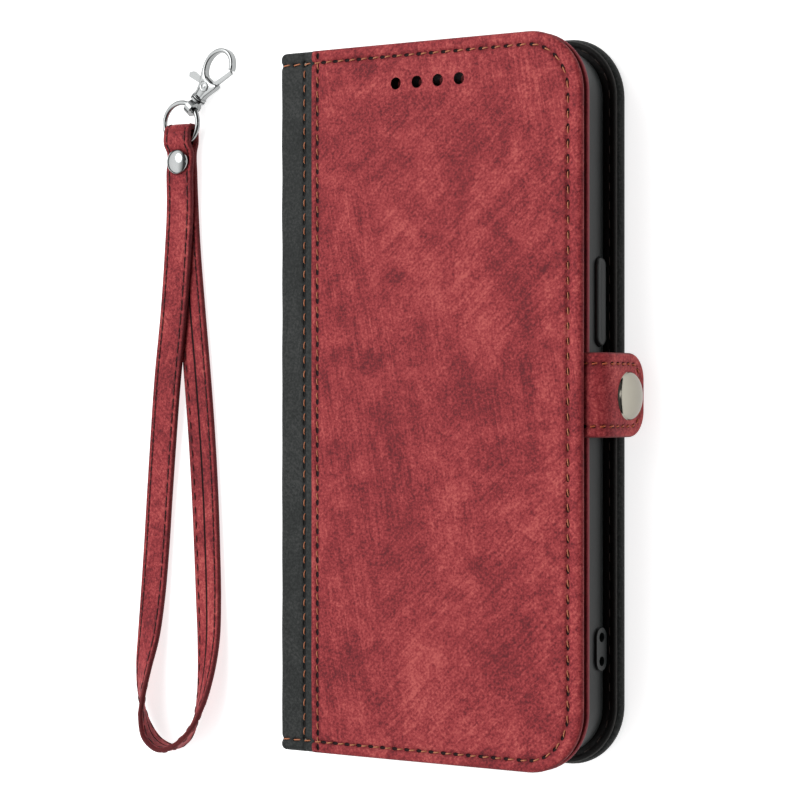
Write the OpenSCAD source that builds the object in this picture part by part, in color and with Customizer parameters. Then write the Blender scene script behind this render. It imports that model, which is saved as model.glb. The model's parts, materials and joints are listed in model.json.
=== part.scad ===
// Phone wallet case that lies closed on its back cover, with its wrist strap beside it.
// Millimetres. The origin is the middle of the back cover's outer face: +X points to the
// opening edge, +Y to the top of the case and +Z out of the front cover.

/* [Case] */
// Width from the spine to the opening edge
case_w = 83; // [76:0.5:90]
// Height of the covers
case_h = 166; // [150:0.5:180]
// Thickness of the closed case
case_t = 20.4; // [19.6:0.1:22]
// Radius of the corners on the opening side
corner_r = 14.2; // [8:0.1:18]
// Radius of the corners beside the spine
spine_r = 1.8; // [0.5:0.1:3]
// Thickness of the back cover
back_t = 4.5; // [4.2:0.1:5]
// Thickness of the front cover
front_t = 3.8; // [3.5:0.1:4.2]
// Width of the dark strip beside the spine
strip_w = 9.1; // [7:0.1:11]
// Diameter of the four speaker holes
speaker_d = 2.8; // [2:0.1:3.2]

/* [Phone shell] */
// Gap between the shell's side and the back cover's edge
shell_inset = 2.8; // [2:0.1:4]
// Height of the shell
shell_h = 10.2; // [9:0.1:10.2]
// Wall thickness of the shell
shell_wall_t = 1.8; // [1.4:0.1:2.2]
// Radius of the shell's outer corners
shell_r = 11.5; // [8:0.1:13]
// Length of the power key
power_l = 20.2; // [12:0.1:24]
// Length of each volume key
volume_l = 12; // [8:0.1:14]
// Width of the keys
key_w = 4; // [3:0.1:5]
// Side of the square camera window
window_w = 32; // [24:0.5:36]

/* [Closure] */
// Width of the closing tab
tab_w = 18.9; // [14:0.1:22]
// Middle of the tab along the case
tab_y = 1.5; // [-10:0.1:10]
// Diameter of the domed cap
cap_d = 11; // [8:0.1:13]
// Height of the cap's middle above the table
cap_z = 7.6; // [7:0.1:9]

/* [Strap] */
// Width of the strap
strap_w = 8.8; // [8:0.1:9]
// Thickness of the folded strap
strap_t = 1.3; // [1:0.1:1.3]
// Diameter of the rivet's cap
rivet_d = 6; // [5:0.1:6.2]
// Radius of the ring, to the middle of its wire
ring_r = 5.3; // [5.2:0.1:5.6]
// Diameter of the ring's wire
ring_wire = 1.3; // [1.1:0.1:1.4]
// Direction of the hook, counted from +X
hook_turn = 47.5; // [40:0.5:55]

/* [Hidden] */

$fn = 64;

// Colours
red = "firebrick";
black = "#26292b";
grey_board = "#8c8578";
tpu = "#1d2624";
steel = "silver";

// Cover layers, counted inwards from each outer face
skin_t = 0.8;
rim_t = 1.2;
lining_t = 1.0;
lining_inset = 0.5;
layer_gap = 0.05;
crease = 0.4;

// Edges of the case
x_spine = -case_w / 2;
x_open = case_w / 2;
y_top = case_h / 2;
x_strip = x_spine + strip_w;
back_lining_z = back_t - lining_t - 0.4;
front_in_z = case_t - front_t;
front_lining_z = front_in_z + lining_t;

// Phone shell
shell_x1 = x_open - shell_inset;
shell_x0 = x_spine + shell_inset + 0.4;
shell_mid = (shell_x0 + shell_x1) / 2;
shell_w = shell_x1 - shell_x0;
shell_l = case_h - 2 * shell_inset;
shell_z = back_t + 0.2;
shell_top = shell_z + shell_h;
shell_floor_t = 1.4;
lip_h = 0.6;
lip_w = 0.5;
key_z = 7.7;
key_gap = 0.15;
key_proud = 0.9;
key_back = 0.45;
power_y = 22.5;
volume_up_y = 31;
volume_down_y = 16;
port_w = 14;
port_h = 5;
port_z = 9.8;
window_r = 7;
window_x = shell_x1 - 5.2 - window_w / 2;
window_y = shell_l / 2 - 5.2 - window_w / 2;
window_gap = 0.8;

// Lanyard boss: an oval pad with two holes through the wall
boss_y = -55.7;
boss_l = 9.7;
boss_w = 4.4;
boss_z = 7.6;
boss_proud = 0.6;
boss_hole_r = 1.1;
boss_hole_gap = 5.4;

// Closure: layers outside the opening edge, counted along +X
stub_x = x_open + 0.6;
stub_t = 1.8;
stub_w = 17.5;
stub_top = 14;
stub_z = 2.3;
stub_tail = 10;
magnet_r = 5;
magnet_t = 1;
tab_x = stub_x + stub_t + 0.3;
tab_inner_t = 0.9;
tab_outer_t = 1.1;
tab_z = 18;
tab_bottom = 0.4;
tab_end_r = 6;
keeper_r = 5;
keeper_t = 0.4;
cap_y = tab_y - 0.2;
cap_h = 1.3;

// Pockets on the inside of the front cover
pocket_t = 0.28;
card_step = 9;

// Strap: the path of its middle line, as [x, y, lift, lean]. Lean is how far the band is
// turned from lying flat, which raises its right-hand edge, and lift is the gap between its
// lower edge and the table. It runs from the fold down the left leg, which lies on the right
// leg as far as the fork, round the bottom of the loop and up the right leg to the fold.
strap_x = -86.8;
fold_y = 68.25;
fold_r = 1.5;
fold_z = strap_t / 2 + fold_r;
strap_path = [
    [strap_x, fold_y, 2 * fold_r, 0], [strap_x, 65.1, 3, 0], [strap_x, 63.9, 2.1, 0],
    [strap_x, 57.5, 2.1, 0],
    [-87.1, 50, 1.6, 0], [-88, 36, 1.5, 0], [-89.3, 22, 1.45, 0], [-91.3, 6, 1.4, 0],
    [-93.2, -10, 0.8, 1], [-94.8, -24, 0.2, 2], [-96, -38, 0, 3], [-97, -50, 0, 6],
    [-97.9, -60, 0, 14], [-98.7, -68, 0, 28], [-98.6, -75, 0, 44], [-97.4, -81, 0, 62],
    [-94.4, -86, 0, 80], [-89.8, -88, 0, 90], [-85, -86.2, 0, 80], [-81.2, -81.4, 0, 60],
    [-79.2, -75, 0, 42], [-78.4, -68, 0, 27], [-78.3, -60, 0, 14], [-78.8, -50, 0, 6],
    [-79.4, -38, 0, 3], [-80.2, -24, 0, 1], [-81.4, -8, 0, 0], [-82.9, 8, 0, 0],
    [-84.6, 24, 0, 0], [-86, 38, 0, 0], [-86.7, 50, 0.1, 0], [strap_x, 57.5, 0.4, 0],
    [strap_x, 63.9, 0.4, 0], [strap_x, 65.1, 0, 0], [strap_x, fold_y, 0, 0]
];
turn_point = 17;
fold_steps = 8;
rivet_y = 60.8;
rivet_r = 0.9;
rivet_foot = 0.02;
rivet_back_t = 0.34;
rivet_top = 3.46;

// Ring and hook. Distances along the hook are counted from the ring's wire.
ring_y = fold_y + 2.35;
ring_z = fold_z;
ring_x = strap_x;
eye_turn = 46;
eye_x = ring_x + ring_r * cos(eye_turn);
eye_y = ring_y + ring_r * sin(eye_turn);
eye_in = 1.1;
eye_out = 2.1;
eye_w = 1.8;
collar_r = 2;
collar_s = 2.3;
collar_t = 0.55;
swivel_r = 0.65;
swivel_gap = 0.05;
head_r = 0.95;
hook_s = 2.95;
hook_t = 2.6;
head_s = hook_s + 1.2;
hook_slot = 1.1;
pin_s = 6.7;
pin_r = 0.75;
loop_s = 12.9;
loop_a = 5.2;
loop_b = 4.7;
loop_wire = 1.35;
neck_s = pin_s + 2.4;

// ---- Shapes that several parts share ----

// A flat outline whose left and right corners have their own radii.
module outline(x0, x1, h, r0, r1) {
    translate([x0 + r0, -h / 2]) square([x1 - r1 - x0 - r0, h]);
    translate([x0, -h / 2 + r0]) square([r0 + 0.01, h - 2 * r0]);
    translate([x1 - r1 - 0.01, -h / 2 + r1]) square([r1 + 0.01, h - 2 * r1]);
    for (side = [-1, 1]) {
        translate([x0 + r0, side * (h / 2 - r0)]) circle(r0);
        translate([x1 - r1, side * (h / 2 - r1)]) circle(r1);
    }
}

// A plate cut to the covers' outline, pulled in by inset, from z0 to z1.
module cover_plate(z0, z1, inset, x0 = x_spine + skin_t + crease) {
    left_r = max(spine_r - inset, 0.4);
    translate([0, 0, z0]) linear_extrude(z1 - z0)
        outline(x0 + inset, x_open - inset, case_h - 2 * inset, left_r, corner_r - inset);
}

// A slot with round ends, lying along Y, from x0 to x1.
module side_slot(x0, x1, y, z, l, w) {
    translate([x0, y, z]) rotate([0, 90, 0]) {
        translate([-w / 2, -(l - w) / 2, 0]) cube([w, l - w, x1 - x0]);
        for (side = [-1, 1]) translate([0, side * (l - w) / 2, 0])
            cylinder(h = x1 - x0, d = w);
    }
}

// A square hole with round corners, over the phone's cameras.
module window(z0, z1, grow) {
    w = window_w + 2 * grow;
    r = window_r + grow;
    translate([window_x, window_y, z0]) linear_extrude(z1 - z0)
        outline(-w / 2, w / 2, w, r, r);
}

// The four speaker holes, near the top of the front cover.
module speaker_holes() {
    for (i = [-1.5 : 1.5]) translate([0.6 + i * 5.8, 73.6, front_in_z - 1])
        cylinder(h = front_t + 2, d = speaker_d);
}

// ---- Back cover ----

module back_skin() color(black) difference() {
    cover_plate(0, back_lining_z, 0);
    cover_plate(skin_t, back_lining_z + 1, rim_t);
    window(-1, back_t, window_gap);
    translate([x_open - 3, tab_y - stub_w / 2 - 0.1, stub_z - 0.05])
        cube([6, stub_w + 0.2, 3]);
}

module back_board() color(grey_board) difference() {
    cover_plate(skin_t, back_lining_z, rim_t + layer_gap);
    window(-1, back_t, window_gap);
    translate([x_open - stub_tail - 0.1, tab_y - stub_w / 2 - 0.1, stub_z - 0.05])
        cube([stub_tail + 3, stub_w + 0.2, 3]);
}

module back_lining() color(black) difference() {
    cover_plate(back_lining_z, back_t, lining_inset);
    window(-1, back_t + 1, window_gap);
}

module adhesive_pad() color("whitesmoke")
    translate([shell_mid - 30, -72, back_t]) cube([60, 108, shell_z - back_t]);

module shell_outline(inset) {
    outline(shell_x0 + inset, shell_x1 - inset, shell_l - 2 * inset,
        shell_r - inset, shell_r - inset);
}

// What is cut out of the shell's sides: the keys' slots, the boss's seat and the ports.
module shell_openings() {
    side_slot(shell_x1 - 3, shell_x1 + 1, power_y, key_z, power_l + 2 * key_gap,
        key_w + 2 * key_gap);
    for (y = [volume_up_y, volume_down_y])
        side_slot(shell_x0 - 1, shell_x0 + 3, y, key_z, volume_l + 2 * key_gap,
            key_w + 2 * key_gap);
    side_slot(shell_x1 - 3, shell_x1 + 1, boss_y, boss_z, boss_l + layer_gap,
        boss_w + layer_gap);
    translate([shell_mid, -shell_l / 2 + 3, port_z]) rotate([90, 0, 0])
        linear_extrude(6) outline(-port_w / 2, port_w / 2, port_h, 2, 2);
    for (side = [-1, 1]) translate([shell_mid + side * 18, -shell_l / 2 + 3, port_z])
        rotate([90, 0, 0]) linear_extrude(6) outline(-6, 6, 2.4, 1.1, 1.1);
}

// The shell's floor, which the phone's back rests on.
module shell_floor() color(tpu) difference() {
    translate([0, 0, shell_z]) linear_extrude(shell_floor_t) shell_outline(0);
    window(back_t - 1, shell_z + shell_floor_t + 1, 0);
    shell_openings();
}

// The shell's wall, with the inward lip that holds the phone.
module shell_wall() color(tpu) difference() {
    translate([0, 0, shell_z + shell_floor_t])
        linear_extrude(shell_h - shell_floor_t) shell_outline(0);
    translate([0, 0, shell_z + shell_floor_t - 1])
        linear_extrude(shell_h - shell_floor_t - lip_h + 1) shell_outline(shell_wall_t);
    translate([0, 0, shell_top - lip_h - 0.1])
        linear_extrude(lip_h + 1) shell_outline(shell_wall_t + lip_w);
    shell_openings();
}

module lanyard_boss() color(tpu) difference() {
    side_slot(shell_x1 - shell_wall_t, shell_x1 + boss_proud, boss_y, boss_z, boss_l, boss_w);
    for (side = [-1, 1])
        translate([shell_x1 - 5, boss_y + side * boss_hole_gap / 2, boss_z])
            rotate([0, 90, 0]) cylinder(h = 10, r = boss_hole_r);
}

// ---- Keys, which slide in the shell's wall ----

module power_key() color(tpu)
    side_slot(shell_x1 - shell_wall_t + key_back, shell_x1 + key_proud, power_y, key_z,
        power_l, key_w);

module volume_key(y)
    side_slot(shell_x0 - key_proud, shell_x0 + shell_wall_t - key_back, y, key_z,
        volume_l, key_w);

module volume_up_key() color(tpu) volume_key(volume_up_y);

module volume_down_key() color(tpu) volume_key(volume_down_y);

// ---- Closure: the stub on the back cover and the tab on the front cover ----

// Outline of a tab in the side plane: square at its root, round at its free end.
// The outline's X runs down the side, from the root to the end.
module tab_outline(l, w, r) {
    translate([0, -w / 2]) square([l - r, w]);
    translate([l - r - 0.01, -w / 2 + r]) square([r + 0.01, w - 2 * r]);
    for (side = [-1, 1]) translate([l - r, side * (w / 2 - r)]) circle(r);
}

module stub_tab() color(red) difference() {
    union() {
        translate([x_open - stub_tail, tab_y - stub_w / 2, stub_z])
            cube([stub_tail + 0.8, stub_w, back_lining_z - stub_z]);
        translate([stub_x, tab_y, stub_z]) mirror([0, 0, 1]) rotate([0, 90, 0])
            linear_extrude(stub_t) tab_outline(stub_top - stub_z, stub_w, tab_end_r);
    }
    translate([stub_x + 0.3, cap_y, cap_z]) rotate([0, 90, 0])
        cylinder(h = stub_t, r = magnet_r + layer_gap);
}

module magnet() color("dimgray")
    translate([stub_x + 0.35, cap_y, cap_z]) rotate([0, 90, 0])
        cylinder(h = magnet_t, r = magnet_r);

module magnet_cap() color(red)
    translate([stub_x + 0.35 + magnet_t + layer_gap, cap_y, cap_z]) rotate([0, 90, 0])
        cylinder(h = stub_t - 0.35 - magnet_t - layer_gap, r = magnet_r);

module tab_root() color(red)
    translate([x_open - stub_tail, tab_y - tab_w / 2, front_lining_z])
        cube([stub_tail - 0.2, tab_w, skin_t]);

// One layer of the tab: a bend over the cover's edge, then straight down the side.
module tab_layer(x0, x1) {
    bend_z = tab_z + 0.4 - (tab_x + tab_inner_t + tab_outer_t - x_open - 0.5);
    bend_out = x1 - x_open - 0.5;
    bend_in = x0 - x_open - 0.5;
    translate([x0, tab_y, bend_z]) rotate([0, 90, 0])
        linear_extrude(x1 - x0) tab_outline(bend_z - tab_bottom, tab_w, tab_end_r);
    translate([x_open + 0.5, tab_y - tab_w / 2, bend_z]) rotate([-90, 0, 0])
        intersection() {
            difference() {
                cylinder(h = tab_w, r = bend_out);
                translate([0, 0, -1]) cylinder(h = tab_w + 2, r = bend_in);
            }
            translate([0, -bend_out - 1, 0]) cube([bend_out + 1, bend_out + 1, tab_w]);
        }
}

module tab_inner() color(red) difference() {
    tab_layer(tab_x, tab_x + tab_inner_t);
    translate([tab_x + tab_inner_t - keeper_t - layer_gap, cap_y, cap_z]) rotate([0, 90, 0])
        cylinder(h = 2, r = keeper_r + layer_gap);
}

module tab_outer() color(red)
    tab_layer(tab_x + tab_inner_t + 0.01, tab_x + tab_inner_t + tab_outer_t);

module keeper_plate() color("dimgray")
    translate([tab_x + tab_inner_t - keeper_t, cap_y, cap_z]) rotate([0, 90, 0])
        cylinder(h = keeper_t, r = keeper_r);

// A shallow dome: a slice of a sphere on a thin rim.
module dome(d, h, rim) {
    r = (d * d / 4 + (h - rim) * (h - rim)) / (2 * (h - rim));
    cylinder(h = rim + 0.01, d = d);
    translate([0, 0, rim]) intersection() {
        translate([0, 0, h - rim - r]) sphere(r, $fn = 200);
        cylinder(h = h, d = d + 1);
    }
}

module tab_cap() color(steel)
    translate([tab_x + tab_inner_t + tab_outer_t, cap_y, cap_z]) rotate([0, 90, 0])
        dome(cap_d, cap_h, 0.35);

// ---- Spine ----

// A strip of the spine, from x0 to x1, that stands between the covers.
module spine_plate(x0, x1, z0, z1)
    translate([x0, -y_top + crease, z0]) cube([x1 - x0, case_h - 2 * crease, z1 - z0]);

module spine_skin() color(black)
    spine_plate(x_spine, x_spine + skin_t, crease, case_t - crease);

module spine_stiffener() color(grey_board)
    spine_plate(x_spine + skin_t, x_spine + 1.6, back_t + 0.4, front_in_z - 0.4);

module spine_lining() color(black)
    spine_plate(x_spine + 1.6, x_spine + 2.2, back_t + 0.4, front_in_z - 0.4);

// ---- Front cover ----

// The turned skin of the front cover, between two X positions.
module front_shell(x0, x1) difference() {
    cover_plate(front_lining_z, case_t, 0);
    cover_plate(front_lining_z - 1, case_t - skin_t, rim_t);
    speaker_holes();
    translate([x1, -case_h, 0]) cube([case_w, 2 * case_h, 2 * case_t]);
    translate([x0 - case_w, -case_h, 0]) cube([case_w, 2 * case_h, 2 * case_t]);
}

module front_skin() color(red) difference() {
    front_shell(x_strip, x_open + 1);
    translate([x_open - 3, tab_y - tab_w / 2 - 0.1, front_lining_z - 1])
        cube([6, tab_w + 0.2, skin_t + 1.05]);
}

module front_spine_strip() color(black)
    front_shell(x_spine - 1, x_strip - 0.01);

module front_board() color(grey_board) difference() {
    cover_plate(front_lining_z, case_t - skin_t, rim_t + layer_gap);
    speaker_holes();
    translate([x_open - stub_tail - 0.1, tab_y - tab_w / 2 - 0.1, front_lining_z - 1])
        cube([stub_tail + 3, tab_w + 0.2, skin_t + 1.05]);
}

module front_lining() color("saddlebrown") difference() {
    cover_plate(front_in_z, front_lining_z, lining_inset);
    speaker_holes();
}

module pocket_sheet(x0, x1, y0, y1, layer)
    translate([x0, y0, front_in_z - 0.35 - layer * (pocket_t + 0.02)])
        cube([x1 - x0, y1 - y0, pocket_t]);

module cash_pocket() color("saddlebrown")
    pocket_sheet(-33, 37, -78, 66, 0);

module card_pocket(i) color("saddlebrown")
    pocket_sheet(-28 + i * card_step, 36, -72, 20, i + 1);

module card_pocket_1() card_pocket(0);

module card_pocket_2() card_pocket(1);

module card_pocket_3() card_pocket(2);

// ---- Strap ----

function lean(p) = p[3];
function path_point(p) =
    [p[0], p[1], p[2] + sin(lean(p)) * strap_w / 2 + cos(lean(p)) * strap_t / 2];

// The band's middle line, closed by the half circle of the fold round the ring's wire.
band = concat(
    [for (p = strap_path) path_point(p)],
    [for (i = [1 : fold_steps - 1]) let (a = -90 + 180 * i / fold_steps)
        [strap_x, fold_y + fold_r * cos(a), fold_z + fold_r * sin(a)]]
);
band_n = len(band);

function unit(v) = v / norm(v);
function tangent(i) = unit(band[(i + 1) % band_n] - band[(i + band_n - 1) % band_n]);

// Direction from the band's left edge to its right one. It is level on the table and in the
// fold, and upright at the bottom of the loop, where the band turns over.
function across(i) =
    let (t = tangent(i), on_path = i > 1 && i < len(strap_path) - 2,
        side = i <= turn_point ? -1 : 1,
        level = on_path ? side * unit([t[1], -t[0], 0]) : [1, 0, 0],
        a = on_path ? lean(strap_path[i]) : 0)
    unit(cos(a) * level + [0, 0, sin(a)]);
function band_corners(i) =
    let (a = across(i) * strap_w / 2, n = unit(cross(tangent(i), a)) * strap_t / 2)
    [band[i] - a - n, band[i] + a - n, band[i] + a + n, band[i] - a + n];

module strap_band() color(red) difference() {
    polyhedron(
        points = [for (i = [0 : band_n - 1]) each band_corners(i)],
        faces = [for (i = [0 : band_n - 1]) for (j = [0 : 3])
            let (k = (i + 1) % band_n, m = (j + 1) % 4)
                each [[4 * i + j, 4 * k + j, 4 * k + m], [4 * i + j, 4 * k + m, 4 * i + m]]]
    );
    translate([strap_x, rivet_y, -1]) cylinder(h = 10, r = rivet_r + layer_gap);
}

module rivet_cap() color(steel)
    translate([strap_x, rivet_y, rivet_top]) dome(rivet_d, 1.5, 0.4);

module rivet_post() color(steel)
    translate([strap_x, rivet_y, rivet_foot + rivet_back_t])
        cylinder(h = rivet_top - rivet_foot - rivet_back_t, r = rivet_r);

module rivet_back() color(steel)
    translate([strap_x, rivet_y, rivet_foot]) cylinder(h = rivet_back_t, r = 2.4);

// ---- Ring, swivel and hook ----

module strap_ring() color(steel)
    translate([ring_x, ring_y, ring_z]) rotate_extrude()
        translate([ring_r, 0]) circle(d = ring_wire, $fn = 32);

// Everything beyond the ring is drawn along +X from the ring's wire, then turned.
module on_hook_axis()
    translate([eye_x, eye_y, ring_z]) rotate([0, 0, hook_turn]) children();

module axle(s0, s1, r)
    translate([s0, 0, 0]) rotate([0, 90, 0]) cylinder(h = s1 - s0, r = r);

module swivel_eye() color(steel) on_hook_axis() difference() {
    union() {
        translate([0, eye_w / 2, 0]) rotate([90, 0, 0]) cylinder(h = eye_w, r = eye_out);
        axle(eye_out - 0.4, head_s + 0.1, swivel_r);
        axle(collar_s, collar_s + collar_t, collar_r);
        axle(head_s + 0.05, head_s + 0.85, head_r);
    }
    translate([0, 2, 0]) rotate([90, 0, 0]) cylinder(h = 4, r = eye_in);
}

// Outline of the hook: a flared shank and an oval loop with its mouth on the right side.
module hook_outline() difference() {
    union() {
        polygon([[hook_s, -1.7], [neck_s, -3.1], [neck_s, 3.7], [hook_s, 1.7]]);
        polygon([for (a = [0 : 9 : 351]) [loop_s + loop_a * cos(a), loop_b * sin(a)]]);
    }
    polygon([for (a = [0 : 9 : 351])
        [loop_s - 0.1 + (loop_a - loop_wire) * cos(a), (loop_b - loop_wire) * sin(a)]]);
    polygon([[neck_s + 0.1, -0.8], [neck_s + 0.1, -6], [loop_s + 2.1, -6],
        [loop_s + 2.1, -1.2]]);
}

module hook_body() color(steel) on_hook_axis() difference() {
    union() {
        translate([0, 0, -hook_t / 2]) linear_extrude(hook_t) hook_outline();
        axle(hook_s, hook_s + 0.6, collar_r);
    }
    // Seat of the swivel's shaft and its head
    axle(hook_s - 1, head_s + 0.1, swivel_r + swivel_gap);
    axle(head_s, head_s + 0.95, head_r + swivel_gap);
    // Slot for the gate lever, open to both sides
    translate([pin_s - 1.6, -6, -hook_slot / 2]) cube([4.6, 12, hook_slot]);
    translate([pin_s, 0, -3]) cylinder(h = 6, r = pin_r + 0.04);
}

module gate_pin() color(steel)
    on_hook_axis() translate([pin_s, 0, -hook_t / 2]) cylinder(h = hook_t, r = pin_r);

// A small coil beside the lever, shown as the closed ring that it fills.
module gate_spring() color(steel)
    on_hook_axis() translate([pin_s, 0, -0.52]) difference() {
        cylinder(h = 0.16, r = 1.2);
        translate([0, 0, -1]) cylinder(h = 2, r = pin_r + 0.04);
    }

// The lever turns on the pin: a thumb tongue on the left and the gate on the right.
module gate_lever() color(steel)
    on_hook_axis() translate([pin_s, 0, 0]) difference() {
        translate([0, 0, -0.32]) {
            cylinder(h = 0.8, r = 1.3);
            linear_extrude(0.8) polygon([
                [-0.2, 0.8], [-1.4, 5.9], [-0.5, 6.5], [0.6, 5.6], [1, 0.2], [3.1, -1.7],
                [7.9, -3.5], [7.5, -4.3], [2.6, -2.6], [0, -1.2], [0.6, -0.3]
            ]);
        }
        translate([0, 0, -1]) cylinder(h = 2, r = pin_r + 0.04);
    }

back_skin();
back_board();
back_lining();
adhesive_pad();
shell_floor();
shell_wall();
lanyard_boss();
stub_tab();
magnet();
magnet_cap();
spine_skin();
spine_stiffener();
spine_lining();
front_skin();
front_spine_strip();
front_board();
front_lining();
tab_root();
cash_pocket();
card_pocket_1();
card_pocket_2();
card_pocket_3();
tab_outer();
tab_inner();
keeper_plate();
tab_cap();
power_key();
volume_up_key();
volume_down_key();
strap_band();
rivet_cap();
rivet_post();
rivet_back();
strap_ring();
swivel_eye();
hook_body();
gate_pin();
gate_spring();
gate_lever();
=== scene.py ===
"""Looks of a phone wallet case with a wrist strap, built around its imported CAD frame.

Lengths in this script are millimetres in the row frame and become metres in make_mesh().
Leather is made as closed thin solids: an outer and an inner surface over one flat pattern,
with rounded edges, seam grooves and needle holes. Each piece rides or blends on CAD bodies.
"""

import json
import math

import bmesh
import bpy
import numpy as np
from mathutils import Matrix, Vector


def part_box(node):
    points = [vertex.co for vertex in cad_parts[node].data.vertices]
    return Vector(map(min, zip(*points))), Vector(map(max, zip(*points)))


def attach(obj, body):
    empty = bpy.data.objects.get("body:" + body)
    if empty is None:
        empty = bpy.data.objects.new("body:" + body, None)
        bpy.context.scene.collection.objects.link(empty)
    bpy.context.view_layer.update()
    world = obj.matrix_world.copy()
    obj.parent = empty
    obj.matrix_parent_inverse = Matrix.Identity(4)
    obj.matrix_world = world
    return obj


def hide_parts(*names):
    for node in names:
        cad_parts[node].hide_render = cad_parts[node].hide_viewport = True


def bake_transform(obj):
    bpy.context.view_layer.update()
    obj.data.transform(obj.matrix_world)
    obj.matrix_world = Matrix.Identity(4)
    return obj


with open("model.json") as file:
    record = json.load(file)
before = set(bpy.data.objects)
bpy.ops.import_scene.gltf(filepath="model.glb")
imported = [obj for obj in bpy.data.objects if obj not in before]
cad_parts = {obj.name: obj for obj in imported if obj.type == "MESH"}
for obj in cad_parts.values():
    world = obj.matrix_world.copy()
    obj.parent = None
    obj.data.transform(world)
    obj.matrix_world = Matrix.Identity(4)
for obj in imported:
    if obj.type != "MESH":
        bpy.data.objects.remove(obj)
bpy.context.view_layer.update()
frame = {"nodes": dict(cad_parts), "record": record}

MM = 0.001


def box(node):
    """Lowest and highest corner of a CAD node, in millimetres."""
    lo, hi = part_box(node)
    return np.array(lo) / MM, np.array(hi) / MM


# ---- Dimensions that come from the frame ----

SKIN_LO, SKIN_HI = box("front_skin")
BACK_HI = box("back_skin")[1]
SPINE_LO, SPINE_HI = box("spine_skin")
BLIN_LO, BLIN_HI = box("back_lining")
FLIN_LO, FLIN_HI = box("front_lining")
SHELL_LO = box("shell_floor")[0]
SHELL_HI = box("shell_wall")[1]
TAB_LO, TAB_HI = box("tab_outer")
STUB_LO, STUB_HI = box("stub_tab")
CAP_LO, CAP_HI = box("tab_cap")
RIVET_LO, RIVET_HI = box("rivet_cap")
KEY_BOXES = {k: box(k) for k in ("power_key", "volume_up_key", "volume_down_key")}
BOSS_LO, BOSS_HI = box("lanyard_boss")

HALF_H = SKIN_HI[1]
X_OPEN = SKIN_HI[0]
X_STRIP = SKIN_LO[0]
X_SPINE = SPINE_LO[0] - 0.4  # the spine's leather stands this much fuller than its solid
SPINE_MID_Z = (SPINE_LO[2] + SPINE_HI[2]) / 2
X_SPINE_IN = SPINE_HI[0]
SPINE_R = 1.3
LINING_PROUD = 0.45
TAB_PROUD = 0.15
CAP_PROUD = 0.5
RIVET_PROUD = 0.25
TOP = SKIN_HI[2]
CORNER_R = 14.2
ROLL = 1.4

# Seams: distance of each outline seam from the cover's edge, and the stitch pitch
SEAM_TOP, SEAM_SIDE, SEAM_BOTTOM = 3.0, 3.6, 2.7
PITCH = 3.4
RED_SEAM_S = 1.8
BLACK_SEAM_X = -34.7

HOLES = [(0.6 + (i - 1.5) * 5.8, 73.6) for i in range(4)]
HOLE_R, LINING_HOLE_R = 1.38, 1.36
WINDOW = (17.5, 59.0)
UP = np.array([0.0, 0.0, 1.0])

# ---- Small maths ----


def srgb(r, g, b):
    """Linear colour from 8-bit sRGB values."""
    out = []
    for c in (r, g, b):
        c /= 255
        out.append(c / 12.92 if c <= 0.04045 else ((c + 0.055) / 1.055) ** 2.4)
    return (*out, 1.0)


def unit(v):
    return v / np.maximum(np.linalg.norm(v, axis=-1, keepdims=True), 1e-12)


def bell(x, width):
    return np.exp(-((x / width) ** 2))


def smooth(x):
    x = np.clip(x, 0, 1)
    return x * x * (3 - 2 * x)


def waves(x, y, seed, size, count=9):
    """Soft pseudo-random waves of about that size, from -1 to 1, the same each run."""
    rng = np.random.default_rng(seed)
    out = np.zeros_like(np.asarray(x, float))
    for _ in range(count):
        a, k, p = rng.uniform(0, 2 * np.pi), rng.uniform(0.6, 1.7), rng.uniform(0, 6.3)
        out += np.sin((x * np.cos(a) + y * np.sin(a)) * k * 2 * np.pi / size + p)
    return out / count**0.5 / 1.2


def run_length(line):
    return np.concatenate([[0], np.cumsum(np.linalg.norm(np.diff(line, axis=0), axis=1))])


def along(path, dist):
    """Points at the given distances along a polyline."""
    run = run_length(path)
    return np.stack([np.interp(dist, run, path[:, c]) for c in range(path.shape[1])], -1)


# ---- Materials ----


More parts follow.
